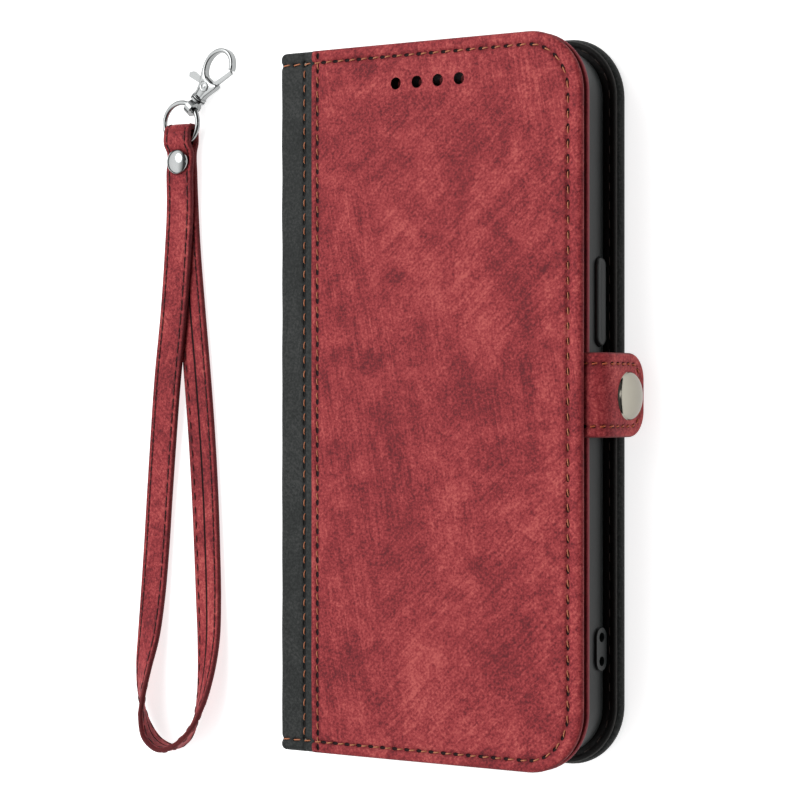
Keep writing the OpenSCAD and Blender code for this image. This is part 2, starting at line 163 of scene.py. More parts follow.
class Graph:
    """Short ways to add nodes to a node tree. A value is a number, a colour or a socket."""

    def __init__(self, tree):
        self.tree = tree
        tree.nodes.clear()

    def put(self, socket, value):
        if isinstance(value, bpy.types.NodeSocket):
            self.tree.links.new(value, socket)
        elif value is not None:
            socket.default_value = value

    def add(self, kind, *values, **named):
        node = self.tree.nodes.new("ShaderNode" + kind)
        for socket, value in zip(node.inputs, values):
            self.put(socket, value)
        for name, value in named.items():
            self.put(node.inputs[name], value)
        return node

    def math(self, op, a, b=None, c=None, clamp=False):
        n = self.add("Math", a, b, c)
        n.operation, n.use_clamp = op, clamp
        return n.outputs[0]

    def attr(self, name, out="Vector"):
        n = self.add("Attribute")
        n.attribute_name = name
        return n.outputs[out]

    def place(self):
        """Object position in millimetres, for CAD nodes, whose place is in their mesh."""
        return self.mapped(self.add("TexCoord").outputs["Object"], (1 / MM,) * 3)

    def mapped(self, vector, scale=(1, 1, 1), turn=0.0):
        return self.add("Mapping", Vector=vector, Scale=scale,
                        Rotation=(0, 0, math.radians(turn))).outputs[0]

    def split(self, vector):
        return self.add("SeparateXYZ", vector).outputs[:3]

    def noise(self, vector, scale, detail=2.0, rough=0.5, distort=0.0):
        return self.add("TexNoise", Vector=vector, Scale=scale, Detail=detail,
                        Roughness=rough, Distortion=distort).outputs[0]

    def cells(self, vector, scale):
        n = self.add("TexVoronoi", Vector=vector, Scale=scale)
        n.feature = "SMOOTH_F1"
        return n.outputs["Distance"]

    def ramp(self, fac, stops):
        n = self.add("ValToRGB", fac)
        e = n.color_ramp.elements
        while len(e) < len(stops):
            e.new(0.5)
        for item, (at, colour) in zip(e, stops):
            item.position, item.color = at, colour
        return n.outputs[0]

    def mix(self, fac, a, b, mode="MIX"):
        n = self.add("Mix", fac)
        n.data_type, n.blend_type = "RGBA", mode
        self.put(n.inputs[6], a)
        self.put(n.inputs[7], b)
        return n.outputs[2]

    def bump(self, height, distance, strength=1.0):
        return self.add("Bump", Height=height, Distance=distance, Strength=strength).outputs[0]

    def centred(self, value, gain):
        """(value - 0.5) times gain."""
        return self.math("MULTIPLY", self.math("SUBTRACT", value, 0.5), gain)


class Material(Graph):
    """A material with a Principled shader."""

    def __init__(self, name):
        self.mat = bpy.data.materials.new(name)
        self.mat.use_nodes = True
        super().__init__(self.mat.node_tree)
        self.bsdf = self.add("BsdfPrincipled")
        self.add("OutputMaterial", self.bsdf.outputs[0])

    def set(self, **values):
        """Sets the shader's sockets. A name has _ for a space."""
        for name, value in values.items():
            self.put(self.bsdf.inputs[name.replace("_", " ")], value)


def seam_masks(g):
    """Painted shade of the needle holes and along the seams, from the two seam attributes:
    (distance, phase, on).
    """
    holes, shadow = 0.0, 0.0
    for name in ("seam_a", "seam_b"):
        dist, phase, on = g.split(g.attr(name))
        side = g.math("POWER", g.math("ABSOLUTE", g.math("DIVIDE", dist, 0.38)), 2)
        turn = g.math("SUBTRACT", g.math("FRACT", g.math("ADD", phase, 0.5)), 0.5)
        end = g.math("POWER", g.math("ABSOLUTE", g.math("DIVIDE", turn, 0.22)), 2)
        inside = g.math("SUBTRACT", 1.25, g.math("ADD", side, end))
        # A needle hole is a dark dot of painted shade, where the hole would be in shadow.
        dot = g.math("MULTIPLY", g.math("MULTIPLY", inside, 2.2, clamp=True), on)
        holes = g.math("MAXIMUM", holes, dot)
        # Painted shadow along the seam's groove.
        wide = g.math("POWER", g.math("ABSOLUTE", g.math("DIVIDE", dist, 1.0)), 2)
        dusk = g.math("MULTIPLY", g.math("SUBTRACT", 1.0, wide, clamp=True), on)
        shadow = g.math("MAXIMUM", shadow, dusk)
    return holes, shadow


def leather(name, stops, mottle, streak, grain, rough, bump, hole, edge):
    """Leather whose colour runs along stops, with brushed mottling and grain, painted shade in its
    needle holes and seams, and painted light at its edges.
    """
    g = Material(name)
    rest = g.attr("rest")
    cloud = g.noise(rest, 0.05, 3, 0.6, 1.2)
    patch = g.noise(rest, 0.2, 4, 0.65, 1.0)
    which = g.noise(g.mapped(rest, (1, 1, 1), 15), 0.028, 1, 0.4, 0.4)
    right = g.math("MULTIPLY", g.math("SUBTRACT", which, 0.46), 9.0, clamp=True)
    steep = g.noise(g.mapped(g.mapped(rest, turn=-10), (1.5, 0.06, 1.0)), 1.0, 3, 0.6, 0.5)
    slant = g.noise(g.mapped(g.mapped(rest, turn=-42), (0.08, 1.3, 1.0)), 1.0, 3, 0.6, 0.7)
    brush = g.math("ADD", g.math("MULTIPLY", slant, right),
                   g.math("MULTIPLY", steep, g.math("SUBTRACT", 1.0, right)))
    fine = g.noise(rest, 1.6, 2, 0.75)
    tone = g.math("ADD", 0.5, g.centred(cloud, mottle))
    for part, gain in ((patch, mottle * 0.8), (brush, streak), (fine, grain)):
        tone = g.math("ADD", tone, g.centred(part, gain))
    colour = g.ramp(tone, stops)
    shade = g.attr("shade", "Fac")
    holes, shadow = seam_masks(g)
    # Painted light at the edges: the shade attribute mixes towards the edge colour, darker on the
    # outer leathers and pockets as painted shade on rolled edges and in grooves, lighter on the
    # linings as a painted highlight along their rims.
    colour = g.mix(shade, colour, edge)
    weight = g.math("MULTIPLY", fine, 0.16)
    colour = g.mix(weight, colour, stops[-1][1])
    # Painted shade along the seams and in the needle holes, in the hole colour.
    colour = g.mix(g.math("MULTIPLY", shadow, 0.22), colour, hole)
    colour = g.mix(holes, colour, hole)
    pebble = g.cells(rest, 1.4)
    relief = g.math("ADD", g.math("MULTIPLY", pebble, 0.6), g.math("MULTIPLY", fine, 0.7))
    relief = g.math("SUBTRACT", relief, g.math("MULTIPLY", holes, 1.6))
    g.set(Base_Color=colour, Roughness=g.math("ADD", rough, g.centred(fine, 0.18)),
          Normal=g.bump(relief, 0.00012, bump), Specular_IOR_Level=0.2)
    return g.mat


def rubber():
    """Soft moulded plastic: near black with a faint cool cast and a fine mould texture."""
    g = Material("black_tpu_look")
    place = g.attr("rest")
    fine = g.noise(place, 3.0, 2)
    broad = g.noise(place, 0.06, 2)
    colour = g.ramp(broad, [(0.3, srgb(20, 24, 24)), (0.7, srgb(29, 33, 33))])
    g.set(Base_Color=colour, Roughness=g.math("ADD", 0.42, g.centred(fine, 0.1)),
          Normal=g.bump(fine, 0.00003, 0.35), Specular_IOR_Level=0.42)
    return g.mat


def metal(name, colour, rough, wear, use_place=True):
    """Plated metal with faint scratches; wear spreads the roughness."""
    g = Material(name)
    place = g.place() if use_place else g.attr("rest")
    scratch = g.noise(g.mapped(place, (0.5, 9.0, 9.0), 20), 1.0, 3, 0.7)
    cloud = g.noise(place, 0.5, 3)
    g.set(Base_Color=g.mix(g.math("MULTIPLY", cloud, 0.35), colour,
                           tuple(c * 0.8 for c in colour[:3]) + (1,)),
          Roughness=g.math("ADD", rough, g.centred(scratch, wear)),
          Normal=g.bump(scratch, 0.00001, 0.12), Metallic=1.0)
    return g.mat


def thread(name, low, high):
    """Twisted thread: a light and a dark ply along the stitch."""
    g = Material(name)
    rest = g.attr("rest")
    ply = g.noise(g.mapped(rest, (2.2, 2.2, 2.2)), 1.0, 2)
    fibre = g.noise(rest, 9.0, 2)
    g.set(Base_Color=g.ramp(g.math("ADD", ply, g.centred(fibre, 0.5)),
                            [(0.3, low), (0.7, high)]),
          Roughness=g.math("ADD", 0.6, g.centred(fibre, 0.2)),
          Normal=g.bump(fibre, 0.00005, 0.5))
    return g.mat


def hidden_stuff(name, low, high, scale, rough):
    """Plain inner material, such as board, film or magnet, with a little variation."""
    g = Material(name)
    place = g.place()
    n = g.noise(place, scale, 3, 0.6)
    g.set(Base_Color=g.ramp(n, [(0.3, low), (0.7, high)]),
          Roughness=g.math("ADD", rough, g.centred(n, 0.2)), Normal=g.bump(n, 0.00005, 0.3))
    return g.mat


RED_STOPS = [(0.1, srgb(92, 18, 30)), (0.34, srgb(129, 34, 42)), (0.5, srgb(151, 48, 54)),
             (0.66, srgb(169, 63, 66)), (0.9, srgb(196, 92, 88))]
BLACK_STOPS = [(0.2, srgb(20, 23, 22)), (0.5, srgb(38, 41, 40)), (0.8, srgb(60, 61, 60))]
BROWN_STOPS = [(0.2, srgb(58, 34, 26)), (0.5, srgb(78, 47, 36)), (0.8, srgb(98, 62, 47))]
DARK_STOPS = [(0.2, srgb(4, 4, 4)), (0.5, srgb(8, 8, 7)), (0.8, srgb(13, 13, 12))]
# Near-black colours for the painted shade in needle holes, punched hole walls and seam grooves.
HOLE_SHADE_RED = srgb(30, 6, 9)
HOLE_SHADE_BLACK = srgb(9, 7, 6)

# The second-last colour of each leather is the painted shade of its needle holes and seams. The
# last is its edge colour, painted in by the shade attribute: painted shade on the red, black and
# brown leathers, a painted highlight on the red lining's rim, and on the black lining a lighter
# rim that is partly a painted highlight along the gap and partly the grey of its cut edge.
LOOK = {
    "red": leather("red_leather_look", RED_STOPS, 1.05, 0.8, 1.45, 0.66, 1.0,
                   HOLE_SHADE_RED, srgb(70, 20, 26)),
    "black": leather("black_leather_look", BLACK_STOPS, 0.6, 0.6, 1.5, 0.58, 0.8,
                     HOLE_SHADE_BLACK, srgb(18, 19, 18)),
    "inner_red": leather("red_edge_look", RED_STOPS, 0.7, 0.6, 0.7, 0.66, 0.6,
                         HOLE_SHADE_RED, srgb(128, 62, 70)),
    "inner_black": leather("black_lining_look", DARK_STOPS, 0.3, 0.2, 0.4, 0.6, 0.5,
                           HOLE_SHADE_BLACK, srgb(44, 42, 40)),
    "brown": leather("brown_lining_look", BROWN_STOPS, 0.6, 0.3, 0.7, 0.62, 0.5,
                     srgb(24, 14, 10), srgb(40, 24, 18)),
    "tpu": rubber(),
    "nickel": metal("nickel_look", srgb(160, 156, 144), 0.17, 0.1, False),
    "steel": metal("polished_steel_look", srgb(158, 160, 160), 0.1, 0.08),
    "steel_new": metal("polished_steel_lathe_look", srgb(158, 160, 160), 0.1, 0.08, False),
    "orange": thread("orange_thread_look", srgb(168, 92, 58), srgb(214, 140, 98)),
    "bright": thread("bright_thread_look", srgb(150, 58, 30), srgb(206, 100, 54)),
    "maroon": thread("maroon_thread_look", srgb(64, 14, 20), srgb(100, 30, 34)),
    # Dark brown thread for the back lining's stitches.
    "dark_brown": thread("dark_brown_thread_look", srgb(32, 22, 18), srgb(60, 46, 38)),
    "greyboard": hidden_stuff("greyboard_look", srgb(112, 106, 96), srgb(146, 140, 128), 1.2, 0.9),
    "adhesive": hidden_stuff("adhesive_look", srgb(206, 204, 198), srgb(226, 224, 220), 0.4, 0.5),
    "magnet": hidden_stuff("magnet_look", srgb(92, 92, 94), srgb(128, 128, 130), 0.8, 0.4),
}

# ---- Meshes ----


def write_attribute(mesh, name, kind, values):
    item = mesh.attributes.new(name, kind, "POINT")
    key = "value" if kind == "FLOAT" else "vector"
    item.data.foreach_set(key, np.asarray(values, np.float32).ravel())


def make_mesh(name, verts, faces, look, rest=None, seam_a=None, seam_b=None, shade=None):
    """A smooth-shaded object from points in millimetres, with the leather's attributes."""
    verts = np.asarray(verts, float)
    mesh = bpy.data.meshes.new(name)
    mesh.from_pydata((verts * MM).tolist(), [], faces)
    n = len(verts)
    write_attribute(mesh, "rest", "FLOAT_VECTOR", verts if rest is None else rest)
    for key, value in (("seam_a", seam_a), ("seam_b", seam_b)):
        write_attribute(mesh, key, "FLOAT_VECTOR", np.zeros((n, 3)) if value is None else value)
    write_attribute(mesh, "shade", "FLOAT", np.zeros(n) if shade is None else shade)
    mesh.polygons.foreach_set("use_smooth", [True] * len(mesh.polygons))
    mesh.materials.append(LOOK[look])
    obj = bpy.data.objects.new(name, mesh)
    bpy.context.scene.collection.objects.link(obj)
    return obj


def tidy_face(face):
    """The face without repeated corners, or nothing if fewer than three are left."""
    out = [v for i, v in enumerate(face) if v != face[i - 1]]
    return [out] if len(out) > 2 and len(set(out)) == len(out) else []


def grid_faces(idx, flip=False):
    faces = []
    for k in range(idx.shape[0] - 1):
        for j in range(idx.shape[1] - 1):
            f = [idx[k, j], idx[k, j + 1], idx[k + 1, j + 1], idx[k + 1, j]]
            faces += tidy_face([int(v) for v in (f[::-1] if flip else f)])
    return faces


def outward(obj):
    """Drops loose points and turns every face outwards."""
    bm = bmesh.new()
    bm.from_mesh(obj.data)
    loose = [v for v in bm.verts if not v.link_faces]
    bmesh.ops.delete(bm, geom=loose, context="VERTS")
    bmesh.ops.recalc_face_normals(bm, faces=bm.faces)
    bm.to_mesh(obj.data)
    bm.free()
    return obj


def solid(name, outer, inner, look, nested, under_shade=None, hidden_face_shade=None,
          **attributes):
    """A closed solid between two grids of points [rows, columns, 3]. In a nested pattern the
    last row is folded onto the middle line, and elsewhere all four sides get a wall."""
    rows, cols = outer.shape[:2]
    idx = np.arange(rows * cols).reshape(rows, cols)
    if nested:
        mirror = idx[-1, ::-1]
        idx[-1] = np.minimum(idx[-1], mirror)
    under = idx + rows * cols
    faces = grid_faces(idx) + grid_faces(under, True)
    walls = [(idx[0], under[0]), (under[:, 0], idx[:, 0]), (idx[:, -1], under[:, -1])]
    if not nested:
        walls.append((under[-1], idx[-1]))
    for wall in walls:
        faces += grid_faces(np.array(wall), True)
    verts = np.concatenate([outer.reshape(-1, 3), inner.reshape(-1, 3)])
    doubled = {}
    for key, value in attributes.items():
        if value is not None:
            flat = value.reshape(rows * cols, -1)
            second = flat if key in ("shade", "rest") else np.zeros_like(flat)
            # Painted shade on the hidden face: its hole mark is switched on where the mask says.
            if key == "seam_a" and hidden_face_shade is not None:
                second[hidden_face_shade.ravel(), 2] = 0.6
            # Painted shade on the hidden face, from under_shade.
            if key == "shade" and under_shade is not None:
                second = under_shade.reshape(rows * cols, -1)
            doubled[key] = np.concatenate([flat, second])
    return outward(make_mesh(name, verts, faces, look, **doubled))


def round_edge(inset, radius):
    """Share of the way to the sheet's middle that a surface moves to round its edge off."""
    x = np.clip(1 - inset / np.maximum(radius, 1e-6), 0, 1)
    return 0.5 * (1 - np.sqrt(1 - x * x))


def edge_rows(radius, *spans):
    """Row insets: rounded edge first, then (end, count) spans."""
    rows = list(radius * (1 - np.cos(np.linspace(0, np.pi / 2, 9))))
    for end, count in spans:
        rows += list(np.linspace(rows[-1], end, count + 1)[1:])
    return np.array(rows)


class Pattern:
    """Flat U-shaped rows, nested from the outline of a panel inwards to its middle line.
    s runs from the straight side (0) to the round end (length), v across it."""

    def __init__(self, length, half, radius, insets, lead=(0.0,), n_leg=60, n_corner=16,
                 n_end=120, zone=8.0, stop=4.0):
        lead = np.asarray(lead, float)
        zone = min(zone, half * 0.6)
        last = min(half, length - lead[-1] - stop)
        squeeze = (last - zone) / (half - zone)
        grid = []
        turn = np.linspace(0, np.pi / 2, n_corner)
        for a in insets:
            b = a if a <= zone else zone + (a - zone) * squeeze
            r = min(max(radius - a, 0.8), half - a)
            sc, vc = length - b - r, half - a - r
            leg = np.concatenate([lead, np.linspace(lead[-1], sc, n_leg + 1)[1:]])
            s = np.concatenate([leg, sc + r * np.sin(turn[1:]), np.full(n_end - 1, length - b),
                                sc + r * np.cos(turn[1:]), leg[::-1][1:]])
            v = np.concatenate([np.full(len(leg), half - a), vc + r * np.cos(turn[1:]),
                                np.linspace(vc, -vc, n_end)[1:], -vc - r * np.sin(turn[1:]),
                                np.full(len(leg) - 1, a - half)])
            grid.append((s, v, np.full(len(s), a)))
        self.s, self.v, self.inset = (np.array([g[i] for g in grid]) for i in range(3))
        self.insets, self.lead, self.n_leg = np.asarray(insets), lead, n_leg
        self.n_corner, self.n_end = n_corner, n_end

    def seam_inset(self, top, end, bottom):
        """Seam inset for each column, easing from one side's to the next round the corners."""
        n = len(self.lead) + self.n_leg
        c = self.n_corner - 1
        ease = smooth(np.linspace(0, 1, c + 2)[1:-1])
        return np.concatenate([np.full(n, top), top + (end - top) * ease,
                               np.full(self.n_end - 1, end), end + (bottom - end) * ease,
                               np.full(n - 1, bottom)])

    def seam(self, flat, top, end, bottom, pitch):
        """A stitched line in the flat pattern: its inset at each column, its fitted pitch,
        and each point's distance from it and phase along it."""
        m = self.seam_inset(top, end, bottom)
        run = run_length(self.line(flat, m))
        pitch = fit_pitch(run[-1], pitch)
        return m, pitch, self.inset - m[None, :], (run / pitch)[None, :]

    def line(self, surface, inset):
        """3D line on a surface at the given inset of each column."""
        return np.array([[np.interp(inset[j], self.insets, surface[:, j, c])
                          for c in range(surface.shape[2])] for j in range(surface.shape[1])])


def seam_attribute(distance, phase, reach=3.0):
    on = (np.abs(distance) < reach).astype(float)
    return np.stack([np.clip(distance, -reach, reach), phase * np.ones_like(distance), on], -1)


def fit_pitch(length, pitch):
    return length / max(round(length / pitch), 1)


def stitches(name, line, normals, pitch, look, radius=0.17, share=0.56, bow=0.14, sink=0.12,
             slant=0.12):
    """One mesh of separate threads, each bowed from needle hole to needle hole."""
    run = run_length(line)
    total = run[-1]
    sides, steps = 6, 7
    verts, faces, rest = [], [], []
    for k in range(int(total / pitch + 1e-6)):
        mid = (k + 0.5) * pitch
        t = np.linspace(-1, 1, steps)
        at = along(line, np.clip(mid + t * pitch * share / 2, 0, total))
        nrm = unit(np.stack([np.interp(mid + t * pitch * share / 2, run, normals[:, c])
                             for c in range(3)], -1))
        tan = unit(np.gradient(at, axis=0))
        side = unit(np.cross(nrm, tan))
        rise = bow * (1 - t * t) - sink * t**6 * 2
        centre = at + nrm * rise[:, None] + side * (slant * t)[:, None]
        thick = radius * (1 - 0.45 * t**8)
        base = k * steps * sides
        for i in range(steps):
            for q in range(sides):
                a = 2 * np.pi * q / sides
                p = centre[i] + thick[i] * (np.cos(a) * side[i] + np.sin(a) * nrm[i] * 0.8)
                verts.append(p)
                rest.append((k * 3.1 + t[i] + q * 0.35, k * 0.7, q * 0.5))
        for i in range(steps - 1):
            for q in range(sides):
                w = (q + 1) % sides
                a, b = base + i * sides, base + (i + 1) * sides
                faces.append([a + q, b + q, b + w, a + w])
        faces.append([base + q for q in range(sides)])
        faces.append([base + (steps - 1) * sides + q for q in reversed(range(sides))])
    obj = make_mesh(name, verts, faces, look, rest=rest)
    return outward(obj)


def cut(obj, *cutters):
    """Takes the cutters away from a closed mesh, then gives its texture place back."""
    for c in cutters:
        m = obj.modifiers.new("cut", "BOOLEAN")
        m.operation, m.solver, m.object = "DIFFERENCE", "EXACT", c
    bpy.context.view_layer.update()
    graph = bpy.context.evaluated_depsgraph_get()
    mesh = bpy.data.meshes.new_from_object(obj.evaluated_get(graph), depsgraph=graph)
    obj.modifiers.clear()
    obj.data = mesh
    place = np.array([v.co for v in mesh.vertices]) / MM
    if "rest" in mesh.attributes:
        mesh.attributes.remove(mesh.attributes["rest"])
    write_attribute(mesh, "rest", "FLOAT_VECTOR", place)
    while len(mesh.materials) > 1:
        mesh.materials.pop()
    mesh.polygons.foreach_set("material_index", [0] * len(mesh.polygons))
    mesh.set_sharp_from_angle(angle=math.radians(38))
    for c in cutters:
        bpy.data.objects.remove(c)
    return obj


def shade_hole_walls(obj, centres, radius):
    """Paints shade on the walls of punched holes, as dark as the needle holes, with a soft rim."""
    mark = obj.data.attributes["seam_a"].data
    for v in obj.data.vertices:
        x, y = v.co.x / MM, v.co.y / MM
        if any(abs(math.hypot(x - cx, y - cy) - radius) < 0.05 for cx, cy in centres):
            mark[v.index].vector = (0, 0, 1)


def rounded_loop(x0, x1, y0, y1, radius, n=10):
    """Closed loop of a rectangle with round corners."""
    r = min(radius, (x1 - x0) / 2, (y1 - y0) / 2)
    pts = []
    for cx, cy, start in ((x1 - r, y1 - r, 0), (x0 + r, y1 - r, 90), (x0 + r, y0 + r, 180),
                          (x1 - r, y0 + r, 270)):
        for a in np.radians(np.linspace(start, start + 90, n)):
            pts.append((cx + r * np.cos(a), cy + r * np.sin(a)))
    return np.array(pts)


def loft(name, rings, look, sharp=None):
    """A closed solid through rings of points, with flat ends."""
    n, last = len(rings[0]), len(rings) - 1
    faces = [[k * n + j, k * n + (j + 1) % n, (k + 1) * n + (j + 1) % n, (k + 1) * n + j]
             for k in range(last) for j in range(n)]
    faces += [list(range(n))[::-1], list(range(last * n, last * n + n))]
    obj = outward(make_mesh(name, np.concatenate(rings), faces, look))
    if sharp:
        obj.data.set_sharp_from_angle(angle=math.radians(sharp))
    return obj


def prism(name, loop, lo, hi, axis="z"):
    """A closed prism over a loop. The loop is (x, y), (y, z) for axis x, or (x, z) for y."""
    column = "xyz".index(axis)
    return loft(name, [np.insert(loop, column, h, axis=1) for h in (lo, hi)], "tpu")


def lathe(name, profile, look, origin, axis, steps=64):
    """A turned piece: profile is (radius, height) from the middle of the base to the top."""
    axis = unit(np.asarray(axis, float))
    u = unit(np.cross(axis, [0.3, 0.9, 0.2]))
    w = np.cross(axis, u)
    a = np.linspace(0, 2 * np.pi, steps, endpoint=False)[:, None]
    return loft(name, [np.asarray(origin) + h * axis + r * (np.cos(a) * u + np.sin(a) * w)
                       for r, h in profile], look)


# ---- Covers ----

LEAD = np.concatenate([[0.0, 0.12, 0.3], np.arange(0.6, 4.5, 0.3)])
COVER_ROWS = edge_rows(ROLL, (2.2, 4), (4.6, 12), (8.0, 6), (HALF_H, 48))


def settle(obj, body, slot, *nodes):
    """Rides a piece on a body and hides the CAD nodes that it stands for; its finish slot is not
    used.
    """
    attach(obj, body)
    finish(obj, slot, *nodes)


def finish(obj, slot, *nodes):
    if nodes:
        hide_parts(*nodes)


def sew(body, name, line, normals, pitch, look, **shape):
    """A row of stitches that rides on a body, with normals as rows or as one direction."""
    if np.ndim(normals) == 1:
        normals = np.tile(normals, (len(line), 1))
    slot = "maroon_thread" if look == "maroon" else "orange_thread"
    settle(stitches(name, line, normals, pitch, look, **shape), body, slot)


def rolled(show, y, hide, share):
    """The two faces [x, y, z] of a sheet, drawn together by share to round its edges."""
    def mixed(a, b):
        return np.stack([a[0] * (1 - share) + b[0] * share, y,
                         a[1] * (1 - share) + b[1] * share], -1)
    return mixed(show, hide), mixed(hide, show)


def groove(distance, phase, depth, width=0.55):
    """Depth of a stitched seam, deeper at its needle holes."""
    return depth * bell(distance, width) * (0.75 + 0.25 * np.cos(2 * np.pi * phase))


def window_cutter(half, radius, lo, hi):
    x, y = WINDOW
    return prism("cutter", rounded_loop(x - half, x + half, y - half, y + half, radius), lo, hi)


def hole_cutters(radius, steps, lo, hi):
    """Cutters for the four speaker holes."""
    a = np.linspace(0, 2 * np.pi, steps, endpoint=False)
    return [prism("cutter", np.stack([x + radius * np.cos(a), y + radius * np.sin(a)], -1),
                  lo, hi) for x, y in HOLES]


def front_leather():
    """The red leather of the front cover, with its outline seam and one upright seam."""
    length = X_OPEN - X_STRIP
    p = Pattern(length, HALF_H, CORNER_R, COVER_ROWS, LEAD, n_leg=90, n_corner=20, n_end=230)
    x, y = X_STRIP + p.s, p.v
    m, pitch, dist_a, phase = p.seam(np.stack([x, y], -1), SEAM_TOP, SEAM_SIDE, SEAM_BOTTOM,
                                     PITCH)
    dist_b = p.s - RED_SEAM_S
    phase_b = y / PITCH
    z = TOP + 0.18 * (1 - np.exp(-np.clip(p.inset - 4, 0, None) / 9))
    z = z - groove(dist_a, phase, 0.5) - groove(dist_b, phase_b, 0.38, 0.45)
    z = z + 0.1 * bell(p.inset - 1.7, 0.8) - 0.25 * np.exp(-p.s / 0.25)
    z = z + 0.05 * waves(x, y, 3, 21) * smooth((p.inset - 1) / 4)
    low = SKIN_LO[2] + 1.0 * smooth(1 - p.inset / 1.8)
    f = round_edge(p.inset, 1.1)
    outer, inner = rolled((x, z), y, (x, low), f)
    # Painted shade along the rolled edge and along the edge against the black strip; under is
    # painted shade on the roll's underside.
    shade = 0.5 * smooth(1 - p.inset / 0.5) + 0.35 * np.exp(-p.s / 0.2)
    under = smooth((0.45 - f) / 0.2) * smooth(1.6 - p.inset)
    obj = solid("front_leather", outer, inner, "red", True,
                seam_a=seam_attribute(dist_a, phase), seam_b=seam_attribute(dist_b, phase_b, 1.6),
                shade=np.clip(shade, 0, 1), under_shade=np.clip(under, 0, 1))
    cut(obj, *hole_cutters(HOLE_R, 40, SKIN_LO[2] - 2, TOP + 2))
    # Painted shade inside the speaker holes.
    shade_hole_walls(obj, HOLES, HOLE_R)
    settle(obj, "front_cover", "red_leather", "front_skin")
    sew("front_cover", "front_stitches", p.line(outer, m) + 0.1 * UP, UP, pitch, "orange")
    col = int(np.argmin(np.abs(p.lead - RED_SEAM_S)))
    upright = np.concatenate([outer[:, col], outer[::-1, -1 - col]])
    keep = (np.abs(upright[:, 1]) < HALF_H - 0.7)
    upright = upright[keep][::-1]
    start = np.ceil(upright[0, 1] / PITCH) * PITCH
    upright = upright[upright[:, 1] >= start - 0.2]
    upright[0, 1] = start
    sew("front_cover", "front_upright_stitches", upright + 0.1 * UP, UP, PITCH, "orange")


def arc(cx, cz, r, a0, a1, n=8):
    a = np.radians(np.linspace(a0, a1, n))
    return [(cx + r * np.cos(q), cz + r * np.sin(q)) for q in a]


def spine_band():
    """The black leather strip of the front cover and the upper half of the spine."""
    top = TOP - 0.28
    xc, zc = X_SPINE + SPINE_R, top - SPINE_R
    n_top, n_arc, n_side = 44, 14, 16
    o = np.concatenate([
        np.stack([np.linspace(X_STRIP + 0.5, xc, n_top), np.full(n_top, top)], -1),
        np.array(arc(xc, zc, SPINE_R, 90, 180, n_arc))[1:],
        np.stack([np.full(n_side, X_SPINE), np.linspace(zc, SPINE_MID_Z, n_side)], -1)[1:]])
    share = np.linspace(0, 1, n_arc)[1:]
    low = SKIN_LO[2]
    i = np.concatenate([
        np.stack([np.linspace(X_STRIP + 0.5, xc + 0.9, n_top), np.full(n_top, low)], -1),
        np.stack([xc + 0.9 - (xc + 0.9 - X_SPINE_IN) * smooth(share * 1.4),
                  low - 1.3 * share**2], -1),
        np.stack([np.full(n_side, X_SPINE_IN), np.linspace(low - 1.3, SPINE_MID_Z, n_side)],
                 -1)[1:]])
    run = run_length(o)
    ends = edge_rows(1.25, (2.0, 3), (4.4, 12), (7, 5))
    ys = np.concatenate([HALF_H - ends, np.linspace(HALF_H - 7, -HALF_H + 7, 190)[1:-1],
                         (-HALF_H + ends)[::-1]])
    yy, ss = np.meshgrid(ys, run, indexing="ij")
    xo, zo, xi, zi = (np.tile(c, (len(ys), 1)) for c in (*o.T, *i.T))
    inset = HALF_H - np.abs(yy)
    m = np.where(yy > 0, SEAM_TOP, SEAM_BOTTOM)
    dist_a = inset - m
    phase_a = (xo - X_STRIP) / PITCH + 0.5
    dist_b = np.where(zo > TOP - 2, xo - BLACK_SEAM_X, 9)
    phase_b = yy / PITCH + 0.45
    on_face = smooth((zo - (zc - 0.2)) / 0.6)
    dip = groove(dist_a, phase_a, 0.4) * on_face + groove(dist_b, phase_b, 0.32, 0.45) * on_face
    dip = dip - 0.04 * waves(ss * 1.4, yy, 7, 18) - 0.07 * bell(inset - 1.6, 0.7)
    nx = np.gradient(o[:, 1], run)
    nz = -np.gradient(o[:, 0], run)
    xo, zo = xo - dip * nx[None, :], zo - dip * nz[None, :]
    half_t = np.hypot(xo - xi, zo - zi) / 2
    f = round_edge(inset, np.minimum(half_t, 1.25))
    outer, inner = rolled((xo, zo), yy, (xi, zi), f)
    rest = np.stack([ss + 60, yy, zo * 0 + 3], -1)
    # Its shade attribute is painted shade along the rolled ends.
    obj = solid("front_strip_and_spine", outer, inner, "black", False,
                seam_a=seam_attribute(dist_a, phase_a) * on_face[..., None],
                seam_b=seam_attribute(dist_b, phase_b, 1.6), rest=rest,
                shade=np.clip(0.6 * smooth(1 - inset / 0.6), 0, 1))
    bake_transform(obj)
    finish(obj, "black_leather", "front_spine_strip")
    k = int(np.argmin(np.abs(o[:n_top, 0] - BLACK_SEAM_X)))
    keep = np.abs(ys) < HALF_H - 2.8
    line = outer[keep, k][::-1].copy()
    line[:, 0] = BLACK_SEAM_X
    start = (np.ceil((line[0, 1] / PITCH + 0.45)) - 0.45) * PITCH
    line = line[line[:, 1] >= start - 0.2]
    line[0, 1] = start
    sew("front_cover", "strip_upright_stitches", line + 0.1 * UP, UP, PITCH, "orange",
        slant=-0.12)
    for label, y in (("top", HALF_H - SEAM_TOP), ("bottom", -HALF_H + SEAM_BOTTOM)):
        row = int(np.argmin(np.abs(ys - y)))
        line = outer[row, :n_top + n_arc - 2].copy()
        line[:, 1] = y
        out = np.column_stack([nx, 0 * nx, nz])[:len(line)]
        keep = line[:, 0] <= X_STRIP - 0.1
        line, out = line[keep], out[keep]
        sew("front_cover", f"strip_{label}_stitches", line + out * 0.08, unit(out), 3.1,
            "orange", share=0.74)


